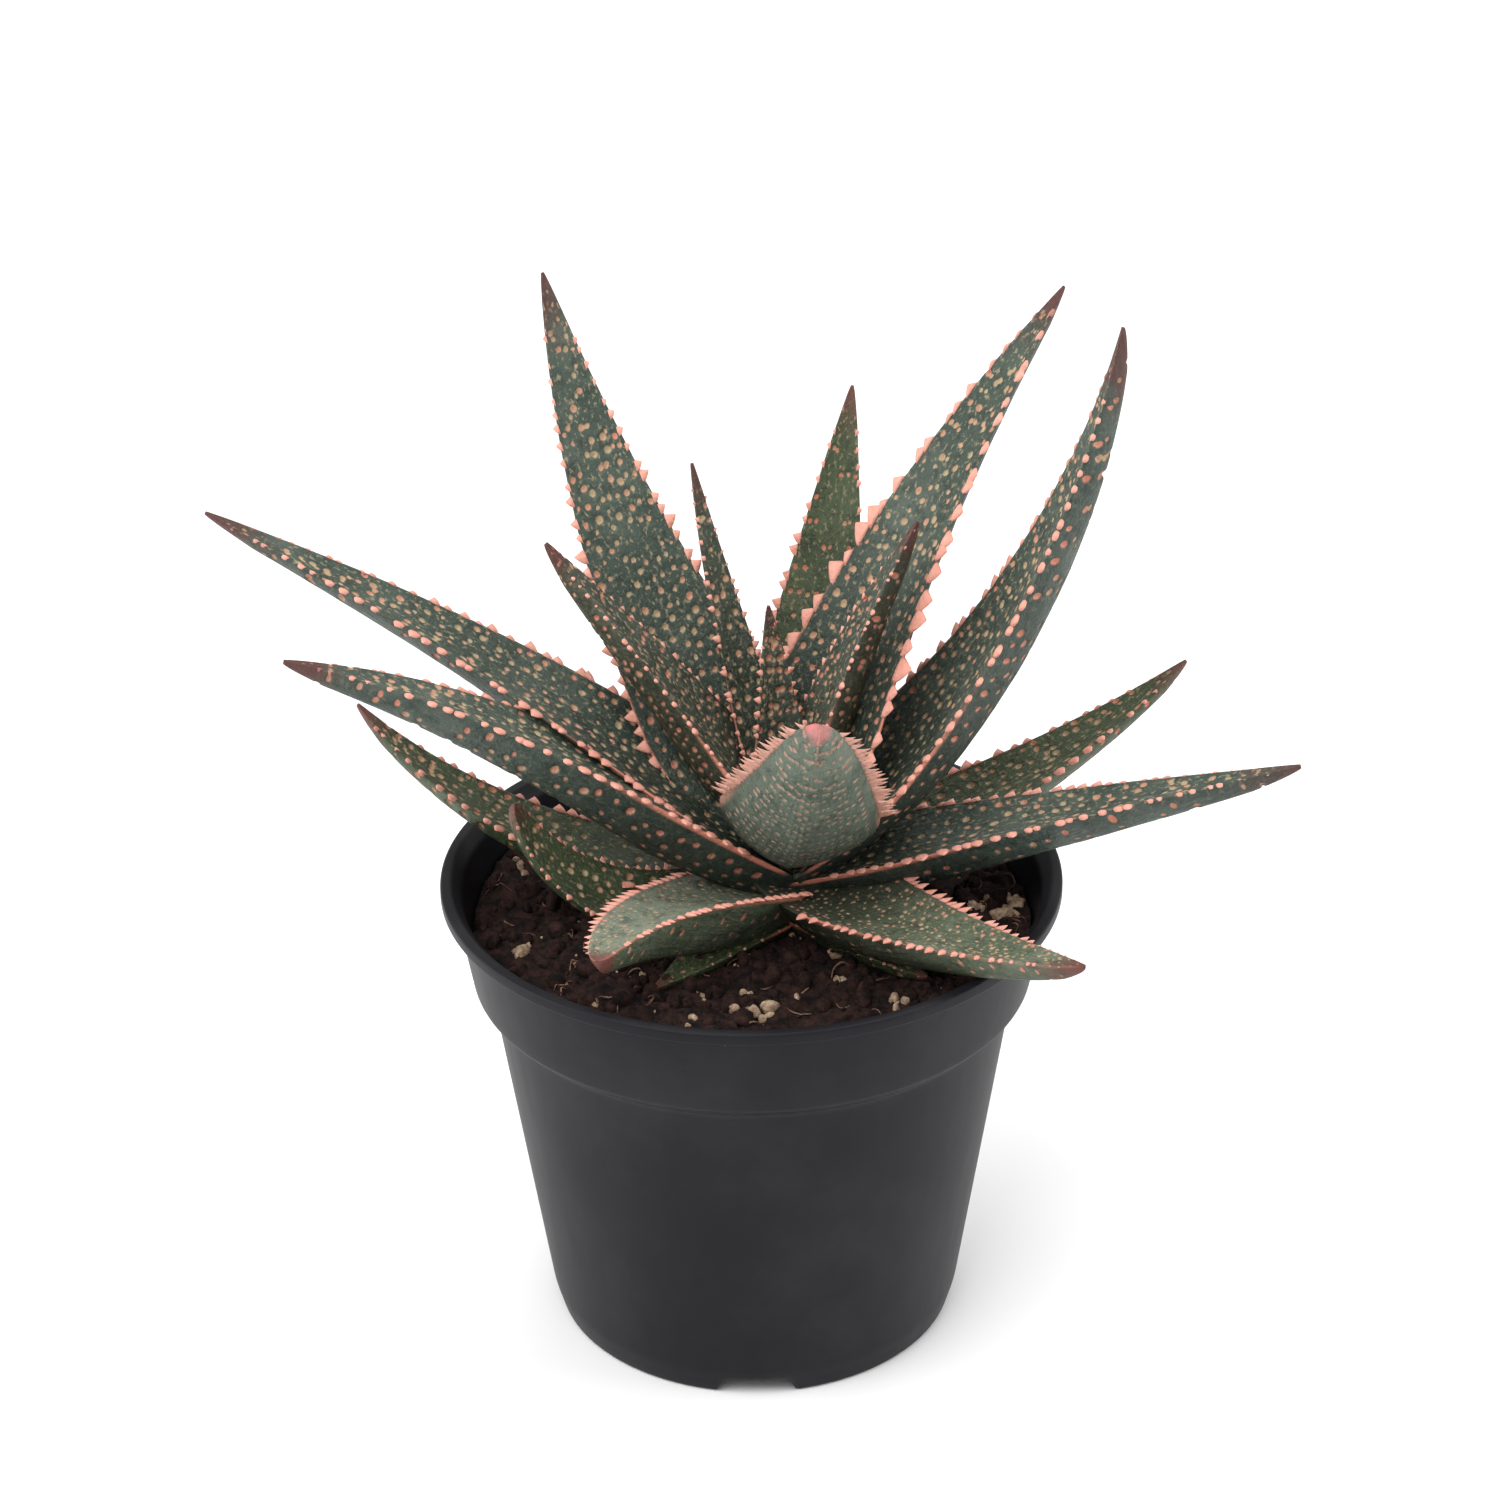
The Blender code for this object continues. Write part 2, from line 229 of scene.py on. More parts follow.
def claim(piece: bpy.types.Object, slot: str, *nodes: str) -> None:
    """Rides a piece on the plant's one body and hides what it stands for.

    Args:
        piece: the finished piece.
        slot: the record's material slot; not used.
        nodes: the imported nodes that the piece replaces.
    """
    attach(piece, "root")
    if nodes:
        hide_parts(*nodes)
    LOG.info("%s: %d faces", piece.name, len(piece.data.polygons))


# ---------------------------------------------------------------- finishes


class Weave:
    """A short way to write a material's nodes."""

    def __init__(self, name: str) -> None:
        """Starts a material with its Principled shader.

        Args:
            name: the material's name.
        """
        self.material = bpy.data.materials.new(name)
        self.material.use_nodes = True
        self.tree = self.material.node_tree
        self.shader = self.tree.nodes["Principled BSDF"]

    def node(self, kind: str, inputs: dict | None = None, **settings: object) -> bpy.types.Node:
        """Adds a node.

        Args:
            kind: the node's type name, without its ShaderNode start.
            inputs: a value or an output socket for each input, by name or number.
            settings: the node's own properties.

        Returns:
            The new node.
        """
        made = self.tree.nodes.new(f"ShaderNode{kind}")
        for key, value in settings.items():
            setattr(made, key, value)
        for key, value in (inputs or {}).items():
            self.feed(made.inputs[key], value)
        return made

    def feed(self, socket: Socket, value: Source) -> None:
        """Links an output to a socket, or sets the socket to a number or a colour.

        Args:
            socket: the input.
            value: an output, a number or a colour.
        """
        if isinstance(value, bpy.types.NodeSocket):
            self.tree.links.new(value, socket)
        elif isinstance(value, tuple) and socket.type == "RGBA":
            socket.default_value = (*value[:3], 1.0)
        else:
            socket.default_value = value

    def noise(self, scale: float, detail: float = 3.0, at: Socket | None = None) -> Socket:
        """Noise from 0 to 1.

        Args:
            scale: how fine it is.
            detail: how many finer layers it has.
            at: the vector to read it at, or nothing for Object coordinates.

        Returns:
            The noise.
        """
        where = at if at is not None else self.node("TexCoord").outputs["Object"]
        inputs = {"Vector": where, "Scale": scale, "Detail": detail, "Roughness": 0.6}
        return self.node("TexNoise", inputs).outputs["Fac"]

    def stretched(self, vector: Socket, scale: Color) -> Socket:
        """The vector with each part multiplied by its own scale."""
        return self.node("Mapping", {"Vector": vector, "Scale": scale}).outputs[0]

    def ramp(self, value: Source, low: float, high: float) -> Socket:
        """A smooth ramp from 0 at low to 1 at high."""
        inputs = {0: value, 1: low, 2: high}
        return self.node("MapRange", inputs, interpolation_type="SMOOTHSTEP").outputs[0]

    def times(self, one: Source, other: Source) -> Socket:
        """The product of two values."""
        return self.node("Math", {0: one, 1: other}, operation="MULTIPLY").outputs[0]

    def plus(self, one: Source, other: Source) -> Socket:
        """The sum of two values."""
        return self.node("Math", {0: one, 1: other}, operation="ADD").outputs[0]

    def mix(self, share: Source, one: Source, other: Source) -> Socket:
        """A blend of two colours.

        Args:
            share: how much of the second colour shows, from 0 to 1.
            one: the first colour.
            other: the second colour.

        Returns:
            The blended colour.
        """
        return self.node("Mix", {0: share, 6: one, 7: other}, data_type="RGBA").outputs[2]

    def parts(self, label: str) -> tuple[Socket, ...]:
        """The three parts of a mesh attribute."""
        read = self.node("Attribute", attribute_name=label)
        return tuple(self.node("SeparateColor", {0: read.outputs["Color"]}).outputs)

    def bump(self, height: Source, strength: float, depth: float) -> None:
        """Gives the shader a bumped normal.

        Args:
            height: the height, from 0 to 1.
            strength: how much of it shows.
            depth: how deep a height of 1 is, in metres.
        """
        inputs = {"Height": height, "Strength": strength, "Distance": depth}
        self.feed(self.shader.inputs["Normal"], self.node("Bump", inputs).outputs[0])

    def surface(self, **values: Source) -> bpy.types.Material:
        """Sets the shader's inputs.

        Args:
            values: an input's value or source, by its name with _ for each space.

        Returns:
            The finished material.
        """
        for key, value in values.items():
            self.feed(self.shader.inputs[key.replace("_", " ")], value)
        return self.material


@dataclass(frozen=True)
class LeafSkin:
    """Waxy leaf skin, with its warts, teeth and reddened tip.

    upper and under are the colours of the two faces, bloom is the pale wax over them,
    cream and salmon are the warts' two ends, and tip is the colour of the leaf's end.
    flecks is how strong the small cream flecks of the upper face are, and the base shade
    share is how much painted shade darkens the skin towards the leaf's base.
    """

    name: str
    upper: Color
    under: Color
    bloom: Color
    bloom_share: float
    cream: Color = (0.42, 0.33, 0.2)
    salmon: Color = (0.6, 0.225, 0.155)
    tooth: Color = (0.76, 0.39, 0.315)
    tip: Color = (0.085, 0.026, 0.022)
    tip_start: float = 0.86
    flecks: float = 0.5
    # Painted shade: how much the skin darkens towards the leaf's base.
    painted_base_shade: float = 0.35
    roughness: float = 0.5

    def build(self) -> bpy.types.Material:
        """Lays the skin, the tip, the warts, the salmon margin and the teeth in turn.

        Returns:
            The finished material.
        """
        weave = Weave(self.name)
        spot, pink, edge = weave.parts("marks")
        along, top, tooth = weave.parts("place")
        flat = weave.node("UVMap", uv_map="Surface").outputs[0]
        streaks = weave.noise(1.0, 4.0, weave.stretched(flat, (1.2, 16.0, 1.0)))
        streaks = weave.ramp(streaks, 0.42, 0.7)
        fine = weave.ramp(weave.noise(1400.0, 2.0), 0.45, 0.75)
        wander = weave.times(weave.plus(weave.noise(120.0), -0.5), 0.2)
        tip = weave.ramp(weave.plus(along, wander), self.tip_start, 1.0)

        color = self.green(weave, flat, along, top, streaks, fine)
        color = weave.mix(weave.times(tip, 0.9), color, self.tip)
        wart = weave.mix(pink, self.cream, self.salmon)
        wart = weave.mix(weave.times(tip, 0.5), wart, self.tip)
        color = weave.mix(weave.times(weave.ramp(spot, 0.06, 0.42), 0.92), color, wart)
        color = weave.mix(weave.ramp(edge, 0.1, 0.8), color, self.salmon)
        blush = weave.mix(weave.noise(500.0), self.salmon, self.tooth)
        blush = weave.mix(weave.times(tip, 0.75), blush, self.tip)
        color = weave.mix(weave.ramp(tooth, 0.0, 0.4), color, blush)

        height = weave.plus(weave.times(fine, 0.6), weave.times(streaks, 0.5))
        weave.bump(height, 0.8, 0.26 * MM)
        return weave.surface(
            Base_Color=color,
            Roughness=weave.plus(weave.times(fine, 0.12), self.roughness),
            Specular_IOR_Level=0.3,
            Subsurface_Weight=0.06,
            Subsurface_Radius=(0.9, 0.7, 0.4),
            Subsurface_Scale=1.5 * MM,
        )

    def green(
        self, weave: Weave, flat: Socket, along: Socket, top: Socket, streaks: Socket, fine: Socket
    ) -> Socket:
        """The skin's green, with painted shade towards the leaf's base, before the reddened tip and
        the warts.

        Args:
            weave: the material's nodes.
            flat: the leaf's flat map.
            along: share of the leaf's length.
            top: 1 on the upper face.
            streaks: long streaks of wax.
            fine: fine grains of wax.

        Returns:
            The colour.
        """
        # A darker green, used for random dark mottle and for the painted shade towards the base.
        shade = tuple(0.35 * part for part in self.under)
        color = weave.mix(top, self.under, self.upper)
        patches = weave.ramp(weave.noise(75.0, 4.0), 0.4, 0.75)
        color = weave.mix(weave.times(patches, self.bloom_share), color, self.bloom)
        color = weave.mix(weave.times(streaks, 0.12), color, self.bloom)
        dark = weave.ramp(weave.noise(420.0, 4.0), 0.46, 0.7)
        color = weave.mix(weave.times(dark, 0.6), color, shade)
        fleck = weave.noise(1.0, 3.0, weave.stretched(flat, (9.0, 13.0, 1.0)))
        most_on_top = weave.plus(weave.times(top, 0.75), 0.25)
        fleck = weave.times(weave.ramp(fleck, 0.54, 0.66), most_on_top)
        color = weave.mix(weave.times(fleck, self.flecks), color, self.cream)
        color = weave.mix(weave.times(fine, 0.22), color, self.bloom)
        # Painted shade: the skin darkens towards the leaf's base, where the leaves above cast their
        # shadow.
        painted_shade_ramp = weave.ramp(along, 0.62, 0.08)
        return weave.mix(weave.times(painted_shade_ramp, self.painted_base_shade), color, shade)


@dataclass(frozen=True)
class PotPlastic:
    """Charcoal moulded plastic with faint dust and scuffs."""

    color: Color = (0.0066, 0.0062, 0.0086)
    dust: Color = (0.3, 0.3, 0.31)
    roughness: float = 0.42

    def build(self) -> bpy.types.Material:
        """A near-black surface whose gloss varies, with a few pale specks.

        Returns:
            The finished material.
        """
        weave = Weave("pot_plastic")
        where = weave.node("TexCoord").outputs["Object"]
        cells = weave.node("TexVoronoi", {"Vector": where, "Scale": 170.0}, feature="F1")
        speck = weave.ramp(cells.outputs["Distance"], 0.05, 0.02)
        rare = weave.ramp(weave.noise(60.0, 2.0), 0.6, 0.66)
        mist = weave.times(weave.ramp(weave.noise(30.0, 5.0), 0.4, 0.8), 0.03)
        color = weave.mix(weave.times(weave.times(speck, rare), 0.6), self.color, self.dust)
        color = weave.mix(mist, color, self.dust)
        drag = weave.noise(420.0, 3.0, weave.stretched(where, (1.0, 1.0, 0.08)))
        gloss = weave.plus(weave.times(drag, 0.08), self.roughness)
        grain = weave.noise(2600.0, 2.0)
        weave.bump(weave.plus(grain, weave.times(drag, 0.3)), 0.12, 0.1 * MM)
        return weave.surface(Base_Color=color, Roughness=gloss, Specular_IOR_Level=0.15)


@dataclass(frozen=True)
class Grit:
    """A mineral, peaty or barky finish: two mottled colours over a rough grain."""

    name: str
    dark: Color
    light: Color
    scale: float
    roughness: float = 0.95
    depth: float = 0.3 * MM

    def build(self) -> bpy.types.Material:
        """Mottles the two colours with coarse and fine noise, and roughens the skin.

        Returns:
            The finished material.
        """
        weave = Weave(self.name)
        coarse = weave.noise(self.scale, 5.0)
        fine = weave.noise(self.scale * 5.0, 3.0)
        share = weave.plus(weave.times(coarse, 0.7), weave.times(fine, 0.3))
        color = weave.mix(weave.ramp(share, 0.38, 0.66), self.dark, self.light)
        weave.bump(weave.plus(coarse, weave.times(fine, 0.6)), 0.6, self.depth)
        return weave.surface(Base_Color=color, Roughness=self.roughness, Specular_IOR_Level=0.25)


class Age(Enum):
    """How old a leaf is, which sets its skin."""

    MATURE = LeafSkin(
        "leaf_skin_mature", (0.031, 0.051, 0.037), (0.026, 0.041, 0.031), (0.13, 0.16, 0.13), 0.35
    )
    INNER = LeafSkin(
        "leaf_skin_inner", (0.028, 0.041, 0.029), (0.032, 0.037, 0.023), (0.15, 0.16, 0.11), 0.25,
        tip_start=0.84,
    )
    YOUNG = LeafSkin(
        "leaf_skin_young", (0.09, 0.12, 0.09), (0.078, 0.105, 0.08), (0.22, 0.25, 0.19), 0.35,
        cream=(0.27, 0.215, 0.155), salmon=(0.4, 0.22, 0.16), tip=(0.6, 0.17, 0.17),
        tip_start=0.955, flecks=0.12, painted_base_shade=0.45,
    )
    LOW = LeafSkin(
        "leaf_skin_low", (0.15, 0.18, 0.13), (0.065, 0.088, 0.05), (0.28, 0.31, 0.24), 0.4,
        tip=(0.13, 0.04, 0.032), tip_start=0.92, flecks=0.3, painted_base_shade=0.5,
    )
    # A skin with strong painted shade towards its base, for a leaf that lies in the shadow of the
    # leaf above it.
    SHADED = LeafSkin(
        "leaf_skin_shaded", (0.062, 0.085, 0.05), (0.055, 0.07, 0.042), (0.22, 0.25, 0.18), 0.35,
        salmon=(0.52, 0.17, 0.12), tip=(0.12, 0.035, 0.028), flecks=0.35, painted_base_shade=0.95,
    )
    OLD = LeafSkin(
        "leaf_skin_old", (0.034, 0.05, 0.02), (0.03, 0.044, 0.018), (0.12, 0.15, 0.08), 0.3,
        salmon=(0.5, 0.16, 0.1), tip=(0.12, 0.04, 0.03), tip_start=0.89, flecks=0.4, painted_base_shade=0.6,
    )


# ---------------------------------------------------------------- leaves


@dataclass(frozen=True)
class Teeth:
    """Marginal teeth: how far apart, how long and how wide at the root, in millimetres.

    start and stop are shares of the leaf's length, hook is how far a tooth leans towards
    the leaf's tip, as a share of its length, uneven is how much sizes differ, and at_tip
    is the size of the last teeth as a share of the largest.
    """

    pitch: float = 3.0
    length: float = 1.9
    root: float = 2.7
    start: float = 0.1
    stop: float = 0.96
    hook: float = 0.35
    uneven: float = 0.5
    at_tip: float = 0.25


@dataclass(frozen=True)
class Warts:
    """Raised spots on one face: how far apart, how wide and how high, in millimetres.

    long is how many times longer than wide a spot is, pink is the share of salmon, fade
    the share of spots missing at the tip, order how well they keep to cross-rows, and
    ragged how far their outlines stray. cross is the spacing across the leaf as a share
    of the spacing along it.
    """

    pitch: float = 2.6
    radius: float = 0.72
    height: float = 0.5
    long: float = 1.15
    pink: float = 0.2
    fade: float = 0.25
    order: float = 0.62
    ragged: float = 0.28
    cross: float = 1.0


FINE = Warts(1.7, 0.45, 0.3, 1.0, 0.35, 0.0, 0.4, 0.15)
SPARSE = Warts(2.9, 0.55, 0.35, 1.0, 0.6, 0.2)
BANDED = Warts(4.2, 0.6, 0.35, 1.0, 0.75, 0.3, 0.9, 0.2, 0.55)
DOTTED = Warts(2.0, 0.55, 0.42, 0.9, 0.5, 0.0, 0.66, 0.08, 0.72)
CROWDED = Warts(1.9, 0.55, 0.75, 1.2, 0.55, 0.1, 0.5)
COMB = Teeth(1.3, 3.0, 1.5, 0.3, 0.97, 0.5, 0.2, 0.6)
SMALL_TEETH = Teeth(2.2, 1.25, 1.5, 0.1, 0.985, 0.3, 0.5, 0.5)


@dataclass
class Leaf:
    """One aloe leaf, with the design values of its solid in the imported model.

    base is millimetres above the soil, angles are degrees and sizes are millimetres.
    heading turns from +X towards +Y, and swing is how far it has turned by the tip.
    rise and tip_rise are the slopes at the base and at the tip, and roll turns the
    leaf about its own length. bend over 1 leaves the change of slope to the tip end.
    taper under 1 keeps the leaf broad for longer, with a blunter tip. line is how much
    of the salmon margin shows beyond the base, and ridge how much of it on the keel.
    belly under 1 makes the underside rounder, bare is the share of the length at the
    base without a salmon margin, and step is the spacing of the mesh.
    """

    node: str
    base: float
    heading: float
    swing: float
    rise: float
    tip_rise: float
    length: float
    width: float
    thickness: float
    roll: float = 0.0
    bend: float = 1.0
    taper: float = 0.86
    age: Age = Age.MATURE
    teeth: Teeth = Teeth()
    upper: Warts = Warts()
    under: Warts = Warts(3.1, 0.74, 0.7, 1.1, 0.5)
    line: float = 0.06
    ridge: float = 0.0
    belly: float = 1.0
    bare: float = 0.0
    step: float = 0.36
    seed: int = 1

    CUP = 0.22
    KEEL = 0.75
    EDGE = 0.9 * MM
    TIP_WIDTH = 0.5 * MM
    WIDEST_AT = 0.24
    BASE_SHARE = 0.72
    BELLY_DEPTH = 0.85
    WAVER = 0.22 * MM
    WAVER_LENGTH = 7.0 * MM
    GRAIN = 1.1 * MM
    MAP_UNIT = 10.0 * MM
    MAP_APART = 9.0
    TOOTH_RINGS = 5
    TOOTH_AROUND = 8
    TOOTH_SUNK = 0.35 * MM
    TOOTH_THICK = 0.55 * MM

    def rows(self) -> int:
        """How many rings the leaf has along its length."""
        return int(self.length / self.step)

    def columns(self) -> int:
        """How many points each ring has, the same number on both faces."""
        return 2 * int(1.15 * self.width / self.step)

    def path(self) -> tuple[np.ndarray, ...]:
        """The centre line and its directions.

        The slope and the heading change from base to tip with the eased share of the
        length, and the line is the running sum of short steps in that direction.

        Returns:
            Shares of the length, points, and the length, side and face directions.
        """
        shares = np.linspace(0.0, 1.0, self.rows())
        eased = shares**self.bend
        slope = np.radians(self.rise + (self.tip_rise - self.rise) * eased)
        turn = np.radians(self.heading + self.swing * eased)
        flat = np.cos(slope)
        ahead = np.stack([flat * np.cos(turn), flat * np.sin(turn), np.sin(slope)], axis=1)
        side = np.stack([-np.sin(turn), np.cos(turn), np.zeros_like(turn)], axis=1)
        face = np.cross(ahead, side)
        middles = (ahead[1:] + ahead[:-1]) / 2 * (self.length * MM / (len(shares) - 1))
        points = np.vstack([np.zeros(3), np.cumsum(middles, axis=0)]) + self.root()
        roll = math.radians(self.roll)
        rolled_side = side * math.cos(roll) + face * math.sin(roll)
        rolled_face = face * math.cos(roll) - side * math.sin(roll)
        return shares, points, ahead, rolled_side, rolled_face

    def root(self) -> np.ndarray:
        """Where the centre line starts, on the stem's axis.

        Returns:
            The point, in metres.
        """
        low, high = (np.array(corner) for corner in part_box("stem"))
        middle = (low + high) / 2
        soil_level = high[2] - Stem.HEIGHT
        return np.array([middle[0], middle[1], soil_level + self.base * MM])

    def half_width(self, shares: np.ndarray) -> np.ndarray:
        """Half the width: a base that swells, then a taper to the tip.

        Args:
            shares: shares of the leaf's length.

        Returns:
            Half the width at each share, in metres.
        """
        swell = np.clip(shares / self.WIDEST_AT, 0.0, 1.0)
        grown = self.BASE_SHARE + (1.0 - self.BASE_SHARE) * np.sin(swell * math.pi / 2)
        left = np.clip((1.0 - shares) / (1.0 - self.WIDEST_AT), 0.0, 1.0)
        tip = self.TIP_WIDTH / (self.width * MM)
        return self.width * MM / 2 * grown * (tip + (1.0 - tip) * left**self.taper)

    def section(self, half: np.ndarray) -> tuple[np.ndarray, ...]:
        """The ring of each station, as a channelled top over a keeled underside.

        The top is a parabola that lifts the margins, the underside hangs below it by the
        thickness times one minus the square of the share across, and the two meet in a
        rounded margin. Points crowd towards the margins as the sine of an even step.

        Args:
            half: half the width at each station.

        Returns:
            Offsets sideways and faceways, shares across, and 1 on the top face.
        """
        count = self.columns() // 2
        even = (np.arange(count) + 0.5) / count * 2.0 - 1.0
        across = np.sin(even * math.pi / 2)
        across = np.concatenate([across, across[::-1]])
        top = np.concatenate([np.ones(count), np.zeros(count)])
        edge = np.minimum(self.EDGE, half[:, None] * 0.5)
        round_off = np.sqrt(np.clip(1.0 - across**8, 0.0, 1.0))
        thick = self.thickness * MM * (half / half.max()) ** self.KEEL
        lift = self.CUP * half[:, None] * across**2 - edge / 2
        above = lift + edge / 2 * round_off
        keel = (1.0 - across**2) ** self.belly * (1.0 + 0.25 * (1.0 - np.abs(across)) ** 2)
        below = lift - edge / 2 * round_off - self.BELLY_DEPTH * thick[:, None] * keel
        return half[:, None] * across, np.where(top > 0, above, below), across, top

    def wart_places(
        self, warts: Warts, along: np.ndarray, half: np.ndarray, seed: int
    ) -> tuple[np.ndarray, ...]:
        """Where one face's warts sit, on a jittered brick grid that follows the width.

        Args:
            warts: sizes of the spots.
            along: metres from the base at each row of points.
            half: half the width at each row of points.
            seed: seed of the random draws.

        Returns:
            Metres along, metres across, radii, shares of salmon and strengths.
        """
        draw = np.random.default_rng(seed)
        pitch = warts.pitch * MM
        lines = max(2, int(self.width * MM / (pitch * warts.cross)))
        steps = max(2, int(self.length * MM / pitch))
        step, line = np.meshgrid(np.arange(steps), np.arange(lines), indexing="ij")
        stray = 0.5 * (1.0 - warts.order)
        offset = stray * (line % 2) + draw.uniform(-stray, stray, step.shape)
        place = (step + offset + 0.25 * draw.normal(size=(steps, 1)) * stray) * pitch
        aside = draw.uniform(-1.0, 1.0, line.shape) * (0.1 + 0.6 * stray)
        share = (line + 0.5 + aside) / lines * 2.0 - 1.0
        room = np.interp(place, along, half)
        crowd = (room / half.max()) ** 0.7
        keep = draw.uniform(size=step.shape) < (1.0 - warts.fade * step / steps) * crowd
        place, share, room = place[keep], share[keep], room[keep]
        size = (1.0 + draw.uniform(-1.2, 0.8, place.shape) * stray * 1.6) * warts.radius * MM
        strong = draw.uniform(0.6, 1.0, place.shape)
        pink = warts.pink + draw.uniform(-0.3, 0.3, place.shape) + 0.6 * share**4
        size = size * (0.45 + 0.55 * smooth_step(0.0, 0.35, room / half.max()))
        return place, share * room * 0.92, size, np.clip(pink, 0.0, 1.0), strong

    def wart_field(
        self, warts: Warts, along: np.ndarray, across: np.ndarray, half: np.ndarray, seed: int
    ) -> tuple[np.ndarray, np.ndarray, np.ndarray]:
        """Height, strength and pinkness of one face's warts.

        Each wart is the smooth dome (1 - d^2)^2 of its own distance d, read at places that
        stray a little from the true ones, so that outlines are ragged.

        Args:
            warts: sizes of the spots.
            along: metres from the base at each point.
            across: metres from the centre line at each point.
            half: half the width at each row of points.
            seed: seed of the random draws and of the noise.

        Returns:
            Heights in metres, strengths from 0 to 1 and shares of salmon.
        """
        height, spot, rose = np.zeros((3, *along.shape))
        flat = np.stack([along, across, np.zeros_like(along)], axis=-1).reshape(-1, 3)
        astray = warts.ragged * MM
        ragged_along = along + astray * layered_noise(
            flat / self.GRAIN, seed + 300, 2
        ).reshape(along.shape)
        ragged_across = across + astray * layered_noise(
            flat / self.GRAIN, seed + 400, 2
        ).reshape(along.shape)
        spacing = self.length * MM / (len(along) - 1)
        found = self.wart_places(warts, along[:, 0], half, seed)
        for at, off, radius, tint, bold in zip(*found):
            reach = radius * warts.long
            rows = slice(max(0, int((at - reach) / spacing) - 1), int((at + reach) / spacing) + 3)
            away = ((ragged_along[rows] - at) / warts.long) ** 2 + (ragged_across[rows] - off) ** 2
            dome = np.clip(1.0 - away / radius**2, 0.0, 1.0) ** 2
            height[rows] += dome * warts.height * radius / warts.radius
            rose[rows] = np.where(dome * bold > spot[rows], tint, rose[rows])
            spot[rows] = np.maximum(spot[rows], dome * bold)
        return height, spot, rose

    def body(self) -> tuple[np.ndarray, dict[str, np.ndarray], np.ndarray]:
        """The leaf without its teeth: its section swept along its path, raised by warts.

        Returns:
            Points by row and column, vertex marks and the flat map.
        """
        shares, centre, _, side, face = self.path()
        half = self.half_width(shares)
        reach, lift, across, top = self.section(half)
        points = centre[:, None] + reach[..., None] * side[:, None] + lift[..., None] * face[:, None]
        along = np.repeat(shares[:, None] * self.length * MM, len(across), axis=1)
        count = len(across) // 2
        height, spot, pink = np.zeros((3, *reach.shape))
        faces = ((self.upper, slice(0, count)), (self.under, slice(count, None)))
        for number, (warts, part) in enumerate(faces):
            height[:, part], spot[:, part], pink[:, part] = self.wart_field(
                warts, along[:, part], reach[:, part], half, 2 * self.seed + number
            )
        skin = layered_noise(points.reshape(-1, 3) / self.WAVER_LENGTH, self.seed, 3)
        height += skin.reshape(reach.shape) * self.WAVER * (half / half.max())[:, None]
        round_ring = np.roll(points, -1, axis=1) - np.roll(points, 1, axis=1)
        normal = np.cross(round_ring, np.gradient(points, axis=0))
        normal /= np.linalg.norm(normal, axis=2, keepdims=True) + 1e-12
        edge = self.margin(shares, across, top)
        marks = np.stack([spot, pink, edge], axis=-1)
        place = np.stack(np.broadcast_arrays(shares[:, None], top, 0.0), axis=-1)
        aside = reach / self.MAP_UNIT + self.MAP_APART * top
        flat_map = np.stack([along / self.MAP_UNIT, aside], axis=-1)
        named = {"marks": marks.reshape(-1, 3), "place": place.reshape(-1, 3)}
        return points + normal * height[..., None], named, flat_map.reshape(-1, 2)

    def margin(self, shares: np.ndarray, across: np.ndarray, top: np.ndarray) -> np.ndarray:
        """How much of the salmon margin and keel shows.

        Args:
            shares: share of the length of each row.
            across: share across of each column.
            top: 1 for a column of the top face.

        Returns:
            Shares from 0 up, by row and column.
        """
        rim = smooth_step(0.93, 1.0, np.abs(across))
        fade = self.line + (1.0 - self.line) * smooth_step(0.55, 0.1, shares)
        fade = fade * smooth_step(self.bare, self.bare + 0.06, shares)
        crest = np.exp(-((across / 0.07) ** 2)) * (1.0 - top)
        far = self.ridge * smooth_step(0.7, 0.98, shares)
        return fade[:, None] * rim + far[:, None] * crest

    def tooth_row(
        self, sign: int, draw: np.random.Generator
    ) -> tuple[np.ndarray, dict[str, np.ndarray], np.ndarray]:
        """Teeth of one margin: each a flattened, hooked cone.

        A cone's rings shrink with its height t, are as long as the root along the leaf and
        thinner across it, and lean ahead by the hook times t squared.

        Args:
            sign: -1 for the right margin, 1 for the left.
            draw: the random draws.

        Returns:
            Points tooth by tooth, vertex marks and the flat map.
        """
        teeth = self.teeth
        span = (teeth.stop - teeth.start) * self.length
        count = max(2, int(span / teeth.pitch))
        jitter = draw.uniform(-0.35, 0.35, count)
        at = teeth.start + (np.arange(count) + 0.5 + jitter) / count * (teeth.stop - teeth.start)
        shares, *lines = self.path()
        half = self.half_width(shares)
        centre, onward, side, up = (
            np.stack([np.interp(at, shares, column) for column in line.T], axis=1) for line in lines
        )
        out = side * sign
        width = np.interp(at, shares, half)
        lift = self.CUP * width - self.EDGE / 2
        foot = centre + out * width[:, None] + up * lift[:, None]
        small = teeth.at_tip + (1.0 - teeth.at_tip) * smooth_step(0.05, 0.8, width / half.max())
        size = small * draw.uniform(1.0 - teeth.uneven, 1.15, count)
        tall = (teeth.length * MM * size)[:, None, None]
        wide = (teeth.root * MM / 2 * (0.4 + 0.6 * size))[:, None, None]
        thin = np.minimum(self.TOOTH_THICK, wide * 0.6)
        height = np.linspace(0.0, 1.0, self.TOOTH_RINGS)[:, None]
        shrink = 1.0 - 0.92 * height**1.5
        lengthways, faceways = circle(self.TOOTH_AROUND)
        reaches = np.broadcast_arrays(
            tall * height - self.TOOTH_SUNK,
            wide * shrink * lengthways + tall * teeth.hook * height**2,
            thin * shrink * faceways + 0.12 * tall * height,
        )
        axes = np.stack([out, onward, up], axis=1)
        points = foot[:, None, None] + np.einsum("nrak,nkc->nrac", np.stack(reaches, axis=-1), axes)
